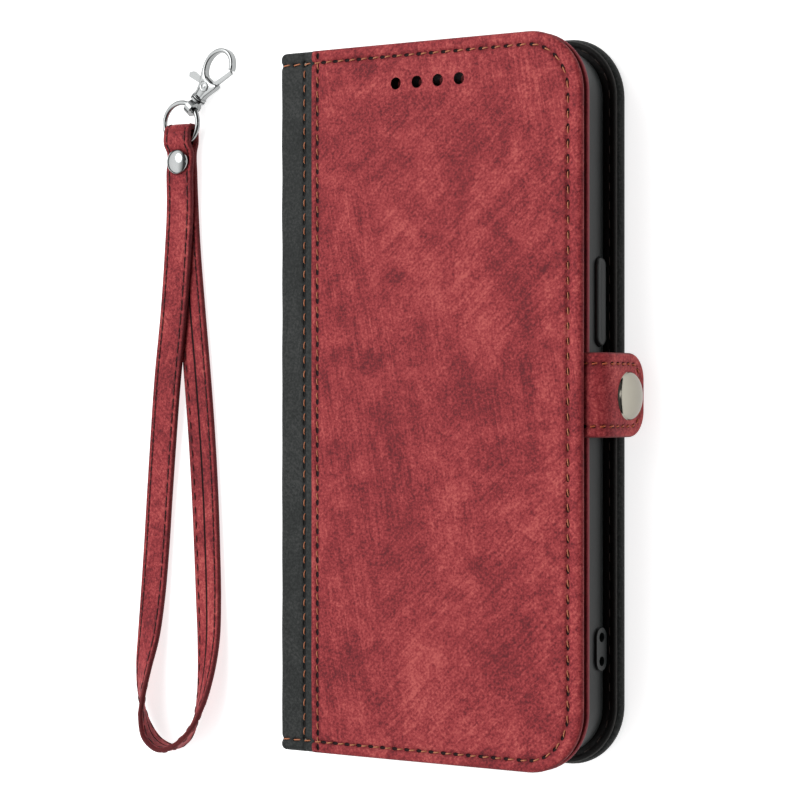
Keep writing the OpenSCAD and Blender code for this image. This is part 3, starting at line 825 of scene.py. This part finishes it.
def back_leather():
    """The black leather of the back cover and the lower half of the spine."""
    n_side, n_arc = 20, 14
    bend_at, flat_at = n_side - 1, n_side + n_arc - 2
    xc = X_SPINE + SPINE_R
    o = np.concatenate([np.stack([np.full(n_side, X_SPINE),
                                  np.linspace(SPINE_MID_Z, SPINE_R, n_side)], -1),
                        np.array(arc(xc, SPINE_R, SPINE_R, 180, 270, n_arc))[1:],
                        [(X_OPEN, 0.0)]])
    high = BACK_HI[2]
    share = np.linspace(0, 1, n_arc)[1:]
    i = np.concatenate([np.stack([np.full(n_side, X_SPINE_IN),
                                  np.linspace(SPINE_MID_Z, high + 1.3, n_side)], -1),
                        np.stack([X_SPINE_IN + (xc + 0.9 - X_SPINE_IN) * smooth(share * 1.4),
                                  high + 1.3 * (1 - share) ** 2], -1),
                        [(X_OPEN, high)]])
    run = run_length(o)
    lead = np.concatenate([np.linspace(0, run[flat_at], 24),
                           run[flat_at] + np.arange(0.3, 7.5, 0.3)])
    p = Pattern(run[-1], HALF_H, CORNER_R, COVER_ROWS, lead, n_leg=90, n_corner=20, n_end=230)
    xo, zo, xi, zi = (np.interp(p.s, run, c) for c in (*o.T, *i.T))
    m, pitch, dist_a, phase = p.seam(np.stack([p.s, p.v], -1), SEAM_TOP, SEAM_SIDE,
                                     SEAM_BOTTOM, PITCH)
    on_face = smooth((p.s - run[flat_at] + 0.3) / 0.8)
    seam_s = run[flat_at] + 5.0
    dist_b = p.s - seam_s
    phase_b = p.v / PITCH
    dip = (groove(dist_a, phase, 0.4) + groove(dist_b, phase_b, 0.3, 0.45)) * on_face
    dip = dip - 0.06 * bell(p.inset - 1.6, 0.7)
    turned = smooth((p.s - run[bend_at]) / (run[flat_at] - run[bend_at]))
    nx, nz = turned - 1, -turned
    xo, zo = xo - dip * nx, np.maximum(zo - dip * nz, 0.0)
    half_t = np.hypot(xo - xi, zo - zi) / 2
    f = round_edge(p.inset, np.minimum(half_t, ROLL))
    outer, inner = rolled((xo, zo), p.v, (xi, zi), f)
    # Its shade attribute is painted shade along the rolled edges.
    obj = solid("back_leather", outer, inner, "black", True,
                seam_a=seam_attribute(dist_a, phase) * on_face[..., None],
                seam_b=seam_attribute(dist_b, phase_b, 1.6),
                shade=0.5 * smooth(1 - p.inset / 0.5))
    cut(obj, window_cutter(16.7, 7.7, -3, high + 3))
    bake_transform(obj)
    finish(obj, "black_leather", "back_skin", "spine_skin")
    line = p.line(outer, m)
    sew("back", "back_stitches", line[line[:, 0] > xc + 0.4] - 0.02 * UP, -UP, pitch, "orange",
        bow=0.1)
    col = int(np.argmin(np.abs(p.lead - seam_s)))
    upright = np.concatenate([outer[:, col], outer[::-1, -1 - col]])
    upright = upright[np.abs(upright[:, 1]) < HALF_H - 3][::-1]
    sew("back", "back_upright_stitches", upright - 0.02 * UP, -UP, PITCH, "orange", bow=0.1)


def panel(name, lo, hi, look, radius, body, nodes, slot, outward_sign, corner,
          seam, pitch=2.9, thread_look="dark_brown", rim=0.0, cutters=()):
    """A flat lining panel with rounded edges. Its show face looks up (1) or down (-1)."""
    length, half = hi[0] - lo[0], (hi[1] - lo[1]) / 2
    mid_y = (hi[1] + lo[1]) / 2
    rows = edge_rows(radius, (3.0, 12), (8.0, 6), (half, 30))
    p = Pattern(length, half, corner, rows, np.arange(0, 3.1, 0.5), n_leg=70, n_corner=16,
                n_end=160)
    show, hide = (hi[2], lo[2]) if outward_sign > 0 else (lo[2], hi[2])
    x, y = lo[0] + p.s, mid_y + p.v
    m, pitch, dist, phase = p.seam(np.stack([x, y], -1), seam, seam, seam, pitch)
    z = show - outward_sign * groove(dist, phase, 0.16, 0.4)
    outer, inner = rolled((x, z), y, (x, hide), round_edge(np.minimum(p.inset, p.s), radius))
    # The rim is painted light along the panel's edge in the look's edge colour: a painted
    # highlight on the linings, painted shade on the pockets. The hidden face gets painted shade
    # where it shows in the groove.
    shade = rim * smooth(1 - p.inset / (radius * 0.5))
    obj = solid(name, outer, inner, look, True, seam_a=seam_attribute(dist, phase, 1.6),
                shade=shade, hidden_face_shade=p.inset > 0.3)
    if cutters:
        cut(obj, *cutters)
    settle(obj, body, slot, *nodes)
    out = outward_sign * UP
    sew(body, name + "_stitches", p.line(outer, m) + 0.05 * out, out, pitch, thread_look,
        radius=0.14, bow=0.1, slant=0.05)
    return obj


def spine_panel():
    """The lining inside the spine, turned over the ends of its stiffener."""
    x0, x1 = SPINE_HI[0], box("spine_lining")[1][0] + 0.1
    z0, z1 = BACK_HI[2] + 0.35, SKIN_LO[2] - 0.35
    half, length, r = HALF_H - 0.35, z1 - z0, 0.6
    insets = r * (1 - np.cos(np.linspace(0, np.pi / 2, 6)))
    ys = np.concatenate([-half + insets, np.linspace(-half + r, half - r, 120)[1:-1],
                         (half - insets)[::-1]])
    zs = np.concatenate([z0 + insets, np.linspace(z0 + r, z1 - r, 14)[1:-1],
                         (z1 - insets)[::-1]])
    yy, zz = np.meshgrid(ys, zs, indexing="ij")
    near = np.minimum(half - np.abs(yy), np.minimum(zz - z0, z1 - zz))
    f = round_edge(near, r)
    face = x1 - 0.12 * bell(zz - z0 - 1.6, 0.3) - 0.12 * bell(z1 - zz - 1.6, 0.3) \
        + 0.03 * waves(yy, zz, 11, 9)
    outer, inner = rolled((face, zz), yy, (x0, zz), f)
    rest = np.stack([zz + 90, yy, 0 * zz], -1)
    obj = solid("spine_lining_panel", outer, inner, "inner_black", False, rest=rest,
                shade=0 * zz)
    settle(obj, "spine", "black_leather", "spine_lining", "spine_stiffener")


def pockets():
    """The cash pocket and the stepped card pockets, each with a turned and stitched edge."""
    for node in ("cash_pocket", "card_pocket_1", "card_pocket_2", "card_pocket_3"):
        lo, hi = box(node)
        obj = panel(node + "_leather", lo, hi, "brown", 0.13, "front_cover", [node],
                    "brown_lining", -1, 4.0, seam=1.7, thread_look="maroon", rim=0.5)


# ---- Shell ----


def shell():
    """The moulded shell round the phone: bulging sides, a rolled rim, floor and openings."""
    x0, x1, y1 = SHELL_LO[0], SHELL_HI[0], SHELL_HI[1]
    z0, z1 = SHELL_LO[2], SHELL_HI[2]
    radius = 11.5
    profile = [(1.3, z0), (0.8, z0 + 0.15), (0.42, z0 + 0.6), (0.18, z0 + 1.4),
               (0.05, z0 + 2.6), (0, z0 + 4.3), (0, z0 + 6.8), (0.06, z0 + 8.2),
               (0.2, z1 - 0.75), (0.42, z1 - 0.3), (0.75, z1 - 0.06), (1.1, z1),
               (1.9, z1), (2.2, z1 - 0.1), (2.3, z1 - 0.35), (2.2, z1 - 0.55),
               (1.85, z1 - 0.75), (1.8, z1 - 1.2), (1.8, z0 + 2.4), (2.1, z0 + 1.5),
               (2.8, z0 + 1.4)]
    rings = []
    for inset, z in profile:
        loop = rounded_loop(x0 + inset, x1 - inset, -y1 + inset, y1 - inset, radius - inset, 18)
        rings.append(np.column_stack([loop, np.full(len(loop), z)]))
    obj = loft("shell", rings, "tpu")
    cutters = []
    for lo, hi, gap in [(*b, 0.14) for b in KEY_BOXES.values()] + [(BOSS_LO, BOSS_HI, 0.02)]:
        loop = rounded_loop(lo[1] - gap, hi[1] + gap, lo[2] - gap, hi[2] + gap, 9)
        side = (x1 - 3, x1 + 3) if hi[0] > 0 else (x0 - 3, x0 + 3)
        cutters.append(prism("cutter", loop, *side, axis="x"))
    mid = (x0 + x1) / 2
    for cx, w, h in ((mid, 14, 5), (mid - 18, 12, 2.4), (mid + 18, 12, 2.4)):
        loop = rounded_loop(cx - w / 2, cx + w / 2, 9.8 - h / 2, 9.8 + h / 2, 2)
        cutters.append(prism("cutter", loop, -y1 - 2, -y1 + 3, axis="y"))
    cut(obj, *cutters, window_cutter(16.0, 7, z0 - 1, z0 + 3))
    settle(obj, "back", "black_tpu", "shell_floor", "shell_wall")


def key(name):
    """A moulded key: a pill with a domed, slightly dished face."""
    lo, hi = KEY_BOXES[name]
    sign = 1 if hi[0] > 0 else -1
    back, face = (lo[0], hi[0]) if sign > 0 else (hi[0], lo[0])
    depth = abs(face - back)
    rows = []
    for inset, d in ((0, 0), (0, depth - 0.7), (0.08, depth - 0.4), (0.28, depth - 0.14),
                     (0.6, depth - 0.02), (0.9, depth), (1.35, depth - 0.06),
                     (1.75, depth - 0.12)):
        loop = rounded_loop(lo[1] + inset, hi[1] - inset, lo[2] + inset, hi[2] - inset, 9, 12)
        rows.append(np.column_stack([np.full(len(loop), back + sign * d), loop]))
    settle(loft(name + "_cap", rows, "tpu", 50), name, "black_tpu", name)


# ---- Closure ----


def folded_tab(name, outer_path, inner_path, half, corner, radius, seam, mid_y, look,
               dish=0.0):
    """A leather tab: a closed strip whose outer and inner faces follow two profiles [x, z]."""
    run = run_length(outer_path)
    share = run_length(inner_path) / run_length(inner_path)[-1]
    length = run[-1]
    rows = edge_rows(radius, (seam + 1.2, 14), (half, 12))
    p = Pattern(length, half, corner, rows, np.arange(0, 3.1, 0.6), n_leg=90, n_corner=18,
                n_end=30, zone=half * 0.55, stop=3.0)
    at_o = [np.interp(p.s, run, outer_path[:, c]) for c in (0, 1)]
    paired = len(outer_path) == len(inner_path)
    at_i = [np.interp(p.s, run if paired else share * length, inner_path[:, c])
            for c in (0, 1)]
    m, pitch, dist, phase = p.seam(np.stack([p.s, p.v], -1), seam, seam, seam, 2.35)
    way = np.stack([at_o[0] - at_i[0], at_o[1] - at_i[1]], -1)
    thick = np.linalg.norm(way, axis=-1)
    nrm = way / np.maximum(thick, 1e-6)[..., None]
    dip = groove(dist, phase, 0.22, 0.45) - dish * smooth((p.inset - seam - 0.8) / 2)
    xo, zo = at_o[0] - dip * nrm[..., 0], at_o[1] - dip * nrm[..., 1]
    f = round_edge(p.inset, np.minimum(radius, thick / 2))
    outer, inner = rolled((xo, zo), mid_y + p.v, at_i, f)
    rest = np.stack([p.s + 140, p.v + 20, 0 * p.s], -1)
    # Painted shade along the tab's rolled edges.
    shade = 0.85 * smooth(1 - p.inset / 0.55)
    obj = solid(name, outer, inner, look, True, rest=rest, shade=shade,
                seam_a=seam_attribute(dist, phase, 1.6))
    normal = p.line(np.stack([nrm[..., 0], 0 * p.s, nrm[..., 1]], -1), m)
    return obj, p.line(outer, m), unit(normal), pitch


def tab():
    """The closing tab: out from under the front cover, over its edge and down the side."""
    x_out = TAB_HI[0] + TAB_PROUD
    top = TAB_HI[2]
    bend = x_out - (X_OPEN + 0.5)
    zc, xc = top - bend, X_OPEN + 0.5
    thick = 2.0
    x0 = X_OPEN - 9.8
    n = 16
    o = [(x0, top - 0.02), (X_OPEN - 0.6, top - 0.02), (xc, top)] \
        + arc(xc, zc, bend, 90, 0, n)[1:] + [(x_out, zc - 3), (x_out, TAB_LO[2])]
    i = [(x0, top - 0.76), (X_OPEN - 0.6, top - 0.76), (xc, top - 1.7)] \
        + arc(xc, zc, bend - thick, 90, 0, n)[1:] + [(x_out - thick, zc - 3),
                                                     (x_out - thick, TAB_LO[2])]
    half = (TAB_HI[1] - TAB_LO[1]) / 2
    mid = (TAB_HI[1] + TAB_LO[1]) / 2
    obj, line, normal, pitch = folded_tab(
        "tab_leather", np.array(o), np.array(i), half, 6.0, 0.75, 2.5, mid, "red", dish=0.12)
    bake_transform(obj)
    finish(obj, "red_leather", "tab_outer", "tab_inner", "tab_root")
    keep = line[:, 0] > X_OPEN - 1.5
    seam = stitches("tab_stitches", line[keep] + normal[keep] * 0.05, normal[keep], pitch,
                    "bright", radius=0.2, bow=0.14, share=0.66)
    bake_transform(seam)
    finish(seam, "orange_thread")


def dome(radius, low, high, start, count):
    """The rounded top of a lathe profile."""
    return [(radius * math.cos(t * math.pi / 2) + 1e-4,
             low + (high - low) * math.sin(t * math.pi / 2))
            for t in np.linspace(start, 1, count)]


def cap():
    """The domed cap on the tab, with a fine rim."""
    r = (CAP_HI[1] - CAP_LO[1]) / 2
    h = CAP_HI[0] - CAP_LO[0] + CAP_PROUD
    mid = ((CAP_HI[1] + CAP_LO[1]) / 2, (CAP_HI[2] + CAP_LO[2]) / 2)
    profile = [(0, -0.1), (r - 0.2, -0.1), (r - 0.05, 0.03), (r, 0.12), (r - 0.04, 0.22),
               (r - 0.14, 0.3)] + dome(r - 0.14, 0.3, h, 0.1, 20)
    obj = lathe("cap_dome", profile, "nickel", (CAP_LO[0], *mid), (1, 0, 0), 96)
    settle(obj, "front_tab", "nickel", "tab_cap")


def stub():
    """The stub on the back cover that the tab closes on, with the magnet in it."""
    x_in = STUB_HI[0] - 1.8
    x_out = STUB_HI[0]
    z0, z1 = STUB_LO[2], STUB_HI[2]
    o = [(STUB_LO[0] + 0.5, z0 + 0.02), (X_OPEN + 0.3, z0 + 0.02)] \
        + arc(x_out - 1.8, z0 + 1.8, 1.8, 290, 360, 10) + [(x_out, z0 + 6), (x_out, z1)]
    i = [(STUB_LO[0] + 0.5, z0 + 0.75), (X_OPEN - 0.4, z0 + 0.75)] \
        + [(x_in - 0.9 + 0.9 * t, z0 + 0.75 + 1.4 * t * t) for t in np.linspace(0.1, 1, 10)] \
        + [(x_in, z0 + 6), (x_in, z1)]
    half = (STUB_HI[1] - STUB_LO[1]) / 2
    mid = (STUB_HI[1] + STUB_LO[1]) / 2
    obj, line, normal, pitch = folded_tab(
        "stub_leather", np.array(o), np.array(i), half, 6.0, 0.6, 2.2, mid, "red")
    settle(obj, "back", "red_leather", "stub_tab", "magnet_cap")
    keep = line[:, 2] > z0 + 1.5
    sew("back", "stub_stitches", line[keep] + normal[keep] * 0.03, normal[keep], pitch,
        "bright", radius=0.15, bow=0.06)


# ---- Strap ----

# The strap's route, as part.scad has it: [x, y, lift, lean in degrees]
STRAP_X, FOLD_Y, FOLD_R = -86.8, 68.25, 1.5
STRAP_PATH = [
    (STRAP_X, FOLD_Y, 3, 0), (STRAP_X, 65.1, 3, 0), (STRAP_X, 63.9, 2.1, 0),
    (STRAP_X, 57.5, 2.1, 0), (-87.1, 50, 1.6, 0), (-88, 36, 1.5, 0), (-89.3, 22, 1.45, 0),
    (-91.3, 6, 1.4, 0), (-93.2, -10, 0.8, 1), (-94.8, -24, 0.2, 2), (-96, -38, 0, 3),
    (-97, -50, 0, 6), (-97.9, -60, 0, 14), (-98.7, -68, 0, 28), (-98.6, -75, 0, 44),
    (-97.4, -81, 0, 62), (-94.4, -86, 0, 80), (-89.8, -88, 0, 90), (-85, -86.2, 0, 80),
    (-81.2, -81.4, 0, 60), (-79.2, -75, 0, 42), (-78.4, -68, 0, 27), (-78.3, -60, 0, 14),
    (-78.8, -50, 0, 6), (-79.4, -38, 0, 3), (-80.2, -24, 0, 1), (-81.4, -8, 0, 0),
    (-82.9, 8, 0, 0), (-84.6, 24, 0, 0), (-86, 38, 0, 0), (-86.7, 50, 0.1, 0),
    (STRAP_X, 57.5, 0.4, 0), (STRAP_X, 63.9, 0.4, 0), (STRAP_X, 65.1, 0, 0),
    (STRAP_X, FOLD_Y, 0, 0)]
TURN_POINT = 17
STRAP_W, STRAP_T = 8.8, 1.3
BAND_W, BAND_T = 8.4, 1.26


def closed_spline(points, count):
    """Smooth closed curve through points, with tangents weighted by chord length."""
    n = len(points)
    nxt, prv = np.roll(points, -1, 0), np.roll(points, 1, 0)
    h = np.linalg.norm(nxt[:, :3] - points[:, :3], axis=1)
    hp = np.roll(h, 1)
    slope = ((nxt - points) / h[:, None] * hp[:, None]
             + (points - prv) / hp[:, None] * h[:, None]) / (h + hp)[:, None]
    run = np.concatenate([[0], np.cumsum(h)])
    at = np.linspace(0, run[-1], count, endpoint=False)
    k = np.clip(np.searchsorted(run, at, "right") - 1, 0, n - 1)
    t = ((at - run[k]) / h[k])[:, None]
    a, b = points[k], points[(k + 1) % n]
    ma, mb = slope[k] * h[k][:, None], slope[(k + 1) % n] * h[k][:, None]
    out = (2 * t**3 - 3 * t**2 + 1) * a + (t**3 - 2 * t**2 + t) * ma \
        + (3 * t**2 - 2 * t**3) * b + (t**3 - t**2) * mb
    return out, at, run[-1]


def strap_frames(count):
    path = np.array(STRAP_PATH, float)
    lean = np.radians(path[:, 3])
    z = path[:, 2] + np.sin(lean) * STRAP_W / 2 + np.cos(lean) * STRAP_T / 2
    band = np.column_stack([path[:, 0], path[:, 1], z])
    fold_z = STRAP_T / 2 + FOLD_R
    fold = np.array([(STRAP_X, FOLD_Y + FOLD_R * math.cos(a), fold_z + FOLD_R * math.sin(a))
                     for a in np.radians(-90 + 22.5 * np.arange(1, 8))])
    full = np.concatenate([band, fold])
    tangent = unit(np.roll(full, -1, 0) - np.roll(full, 1, 0))
    across = np.tile([1.0, 0.0, 0.0], (len(full), 1))
    for i in range(2, len(path) - 2):
        side = -1 if i <= TURN_POINT else 1
        level = side * unit(np.array([tangent[i, 1], -tangent[i, 0], 0.0]))
        across[i] = unit(math.cos(lean[i]) * level + np.array([0, 0, math.sin(lean[i])]))
    out, at, total = closed_spline(np.concatenate([full, across], 1), count)
    place, side = out[:, :3], out[:, 3:]
    tangent = unit(np.roll(place, -1, 0) - np.roll(place, 1, 0))
    side = unit(side - (side * tangent).sum(1, keepdims=True) * tangent)
    return place, side, np.cross(tangent, side), at, total


def strap():
    """The folded wrist strap: stitched along both edges, with a butted seam on its back."""
    place, side, up, at, total = strap_frames(620)
    up = unit(up)
    w, t = BAND_W / 2, BAND_T / 2
    edge, bend = w - 0.5, np.radians([30, 60, 90, 120, 150])
    flat = np.concatenate([np.linspace(-edge, -3.6, 3), np.linspace(-3.4, -2.8, 5),
                           np.linspace(-2.5, -0.5, 5), [-0.25, -0.1, 0, 0.1, 0.25],
                           np.linspace(0.5, 2.5, 5), np.linspace(2.8, 3.4, 5),
                           np.linspace(3.6, edge, 3)])
    u = np.concatenate([flat, edge + 0.5 * np.sin(bend), flat[::-1], -edge - 0.5 * np.sin(bend)])
    v = np.concatenate([flat * 0 + 1, np.cos(bend), flat * 0 - 1, -np.cos(bend)])
    pitch = fit_pitch(total, 3.6)
    phase, at = (at / pitch)[:, None], at[:, None]
    seam_u = w - 1.35
    m, n = len(place), len(u)

    def table(*columns):
        return np.stack([np.broadcast_to(c, (m, n)) for c in columns], -1).reshape(m * n, -1)

    dist, body = np.abs(u) - seam_u, np.abs(v) > 0.99
    butt = np.where(v < 0, 0.16 * bell(u, 0.16), 0)
    dip = 0.07 * (1 - (u / w) ** 2) - groove(dist, phase, 0.14, 0.35) - butt
    depth = v * t + np.where(body, np.sign(v) * dip, 0)
    verts = place[:, None] + side[:, None] * u[:, None] + up[:, None] * depth[..., None]
    faces = [[i * n + j, i * n + (j + 1) % n, ((i + 1) % m) * n + (j + 1) % n,
              ((i + 1) % m) * n + j] for i in range(m) for j in range(n)]
    # The shade attribute is painted shade along both rolled edges.
    obj = outward(make_mesh(
        "strap_leather", verts.reshape(-1, 3), faces, "red",
        rest=table(u + 200 + np.where(v < 0, 30, 0), at, v),
        seam_a=table(dist * 1.7, phase, (np.abs(dist) < 1.0) & body),
        seam_b=table(np.abs(u) * 1.5, 0, (v < -0.99) & (np.abs(u) < 0.5)),
        shade=table(np.clip(0.8 * smooth((np.abs(u) - (w - 0.75)) / 0.6), 0, 1))))
    settle(obj, "strap", "red_leather", "strap_band")
    for label, sign in (("left", -1), ("right", 1)):
        for face, way in (("front", 1), ("back", -1)):
            line = place + side * (sign * seam_u) + up * (way * t)
            line = np.concatenate([line, line[:1]])
            sew("strap", f"strap_{face}_{label}_stitches", line,
                np.concatenate([up, up[:1]]) * way, pitch, "maroon", radius=0.16, bow=0.12,
                share=0.62, slant=0.05)


def rivet():
    """The domed rivet through the strap's fold."""
    r = (RIVET_HI[0] - RIVET_LO[0]) / 2 + RIVET_PROUD
    h = RIVET_HI[2] - RIVET_LO[2]
    mid = ((RIVET_HI[0] + RIVET_LO[0]) / 2, (RIVET_HI[1] + RIVET_LO[1]) / 2)
    profile = [(0, -0.05), (r - 0.25, -0.05), (r - 0.05, 0.05), (r, 0.2), (r - 0.05, 0.36)] \
        + dome(r - 0.08, 0.4, h, 0.08, 14)
    obj = lathe("rivet_dome", profile, "steel_new", (*mid, RIVET_LO[2]), (0, 0, 1), 64)
    settle(obj, "strap", "polished_steel", "rivet_cap")


def hook():
    """The clasp's body: a flared shank and a slender loop, with round edges and a rivet."""
    turn, mid_z = math.radians(47.5), 2.15
    centre = np.array([-83.118, 74.413])
    ax = np.array([math.cos(turn), math.sin(turn)])
    ay = np.array([-ax[1], ax[0]])
    oval = lambda a, b, angles: [(12.7 + a * math.cos(q), b * math.sin(q))
                                 for q in np.radians(angles)]
    outline = [(2.95, -1.5), (2.95, 1.5), (4.6, 1.6), (6.4, 2.1), (8.0, 2.9), (9.4, 3.7)] \
        + oval(5.3, 4.45, np.linspace(122, -66, 44)) + oval(4.2, 3.4, np.linspace(-64, 178, 50)) \
        + [(8.75, -1.2), (9.1, -2.0), (9.3, -2.5), (9.1, -3.1), (8.2, -3.0), (6.4, -2.3),
           (4.6, -1.7)]
    curve = bpy.data.curves.new("hook_outline", "CURVE")
    curve.dimensions, curve.fill_mode = "2D", "BOTH"
    line = curve.splines.new("POLY")
    line.points.add(len(outline) - 1)
    for point, (q, r) in zip(line.points, outline):
        point.co = (q * MM, r * MM, 0, 1)
    line.use_cyclic_u = True
    edge = 0.42
    curve.bevel_depth, curve.bevel_resolution = edge * MM, 4
    curve.extrude, curve.offset = (1.05 - edge) * MM, -edge * MM
    holder = bpy.data.objects.new("hook_outline", curve)
    bpy.context.scene.collection.objects.link(holder)
    bpy.context.view_layer.update()
    graph = bpy.context.evaluated_depsgraph_get()
    mesh = bpy.data.meshes.new_from_object(holder.evaluated_get(graph), depsgraph=graph)
    bpy.data.objects.remove(holder)
    bm = bmesh.new()
    bm.from_mesh(mesh)
    bmesh.ops.remove_doubles(bm, verts=bm.verts, dist=0.000002)
    verts = np.array([v.co for v in bm.verts]) / MM
    bm.verts.index_update()
    faces = [[v.index for v in f.verts] for f in bm.faces]
    bm.free()
    place = np.column_stack([centre + verts[:, :1] * ax + verts[:, 1:2] * ay,
                             verts[:, 2] + mid_z])
    obj = outward(make_mesh("hook_shape", place, faces, "steel_new"))
    obj.data.set_sharp_from_angle(angle=math.radians(50))
    settle(obj, "hook", "polished_steel", "hook_body")
    base = np.array([*centre, mid_z])
    along_axis = np.array([*ax, 0.0])
    sections = [(2.98, 0, 1.15, 1.0), (3.1, 0, 1.45, 1.2), (4.0, 0.0, 1.5, 1.28),
                (5.0, 0.0, 1.6, 1.32), (6.0, 0.05, 1.85, 1.34), (7.0, 0.1, 2.2, 1.3),
                (7.8, 0.15, 2.6, 1.2), (8.4, 0.25, 2.85, 1.02), (8.8, 0.3, 2.8, 0.8),
                (9.0, 0.3, 2.3, 0.4)]
    rows = []
    for q, mid, wide, high in sections:
        a = np.linspace(0, 2 * np.pi, 36, endpoint=False)
        flat = centre + q * ax + (mid + wide * np.cos(a))[:, None] * ay
        rows.append(np.column_stack([flat, mid_z + high * np.sign(np.sin(a))
                                     * np.abs(np.sin(a)) ** 0.8]))
    settle(loft("hook_shank", rows, "steel_new"), "hook", "polished_steel")
    collar = lathe("hook_collar", [(0, 2.9), (1.45, 2.9), (1.8, 3.0), (2.0, 3.2), (2.0, 3.4),
                                   (1.8, 3.6), (1.35, 3.72), (1.15, 4.1), (0, 4.2)],
                   "steel_new", base, along_axis, 40)
    settle(collar, "hook", "polished_steel")
    for label, way in (("top", 1), ("bottom", -1)):
        origin = base + along_axis * 6.7 + np.array([0, 0, way * 1.15])
        head = lathe(f"hook_rivet_{label}", [(0, 0), (1.3, 0), (1.32, 0.12), (1.2, 0.24),
                                            (1.0, 0.26), (0.82, 0.14), (0.7, 0.16),
                                            (0.45, 0.3), (1e-4, 0.34)],
                     "steel_new", origin, (0, 0, way), 32)
        settle(head, "hook", "polished_steel")


# ---- Build ----

front_leather()
spine_band()
back_leather()
panel("back_lining_panel", BLIN_LO, BLIN_HI, "inner_black", 0.7, "back", ["back_lining"],
      "black_leather", 1, CORNER_R - 0.5, seam=1.5, pitch=4.2, rim=0.9,
      cutters=[window_cutter(16.5, 7.5, 0, 9)])
grow = np.array([LINING_PROUD, LINING_PROUD, 0.0])
panel("front_lining_panel", FLIN_LO - grow - [0, 0, 0.25], FLIN_HI + grow, "inner_red", 0.62,
      "front_cover", ["front_lining"], "red_leather", -1, CORNER_R - 0.1,
      seam=2.2, thread_look="maroon", rim=0.9, cutters=hole_cutters(LINING_HOLE_R, 32, 14, 19))
pockets()
spine_panel()
shell()
for k in KEY_BOXES:
    key(k)
tab()
cap()
stub()
strap()
rivet()
hook()

# CAD nodes that stay in sight, or lie inside, take a material by their slot
SLOT_LOOK = {"red_leather": "red", "black_leather": "inner_black", "brown_lining": "brown",
             "greyboard": "greyboard", "adhesive": "adhesive", "black_tpu": "tpu",
             "magnet_steel": "magnet", "nickel": "nickel", "polished_steel": "steel"}
slots = {s["node"]: s["material_slot"] for s in frame["record"]["subparts"]}
for node, obj in frame["nodes"].items():
    obj.data.materials.clear()
    obj.data.materials.append(LOOK[SLOT_LOOK[slots[node]]])
    if node in ("gate_lever", "swivel_eye", "lanyard_boss"):
        bevel = obj.modifiers.new("edges", "BEVEL")
        bevel.width, bevel.segments, bevel.limit_method = 0.00018, 3, "ANGLE"
        bevel.angle_limit, bevel.harden_normals = math.radians(40), True

# ---- Stage ----


def stage():
    g = Material("floor_look")
    n = g.noise(g.place(), 0.02, 2)
    g.set(Base_Color=g.ramp(n, [(0.3, (0.68, 0.68, 0.68, 1)), (0.7, (0.7, 0.7, 0.7, 1))]),
          Roughness=0.9, Specular_IOR_Level=0.1, Emission_Color=(1, 1, 1, 1),
          Emission_Strength=0.78)
    size = 4.0
    mesh = bpy.data.meshes.new("floor")
    mesh.from_pydata([(-size, -size, 0), (size, -size, 0), (size, size, 0), (-size, size, 0)],
                     [], [(0, 1, 2, 3)])
    mesh.materials.append(g.mat)
    floor = bpy.data.objects.new("floor", mesh)
    floor.location.z = -0.0003
    bpy.context.scene.collection.objects.link(floor)

    world = bpy.data.worlds.new("studio")
    bpy.context.scene.world = world
    world.use_nodes = True
    g = Graph(world.node_tree)
    x, _, z = g.split(g.add("TexCoord").outputs["Generated"])
    sky = g.ramp(z, [(0.05, (0.03, 0.035, 0.035, 1)), (0.28, (0.1, 0.11, 0.11, 1)),
                     (0.4, (0.85, 0.85, 0.85, 1)), (0.75, (1, 1, 1, 1))])
    flag = g.ramp(g.math("MULTIPLY_ADD", x, 0.5, 0.5),
                  [(0.28, (1, 1, 1, 1)), (0.62, (0.06, 0.06, 0.06, 1))])
    back = g.add("Background", g.mix(1.0, sky, flag, "MULTIPLY"), 1.85)
    g.add("OutputWorld", back.outputs[0])


def softbox(name, place, target, size, watts):
    light = bpy.data.lights.new(name, "AREA")
    light.shape, light.size, light.size_y, light.energy = "ELLIPSE", *size, watts
    obj = bpy.data.objects.new(name, light)
    obj.location = place
    obj.rotation_euler = (Vector(target) - Vector(place)).to_track_quat("-Z", "Y").to_euler()
    bpy.context.scene.collection.objects.link(obj)


def camera():
    cam = bpy.data.cameras.new("camera")
    obj = bpy.data.objects.new("camera", cam)
    obj.location = (0.3351, 0.0004, 0.5200)
    obj.rotation_euler = (0, math.radians(34.4), 0)
    cam.lens, cam.sensor_width = 117.96, 36
    cam.clip_start, cam.clip_end = 0.05, 20
    bpy.context.scene.collection.objects.link(obj)
    bpy.context.scene.camera = obj


stage()
softbox("key", (-0.3, 0.3, 0.7), (0, 0, 0), (0.5, 0.5), 1.6)
softbox("side", (0.8, 0.1, 0.35), (0, 0, 0.01), (0.3, 0.6), 0.5)
camera()
bpy.context.scene.view_settings.view_transform = "Standard"
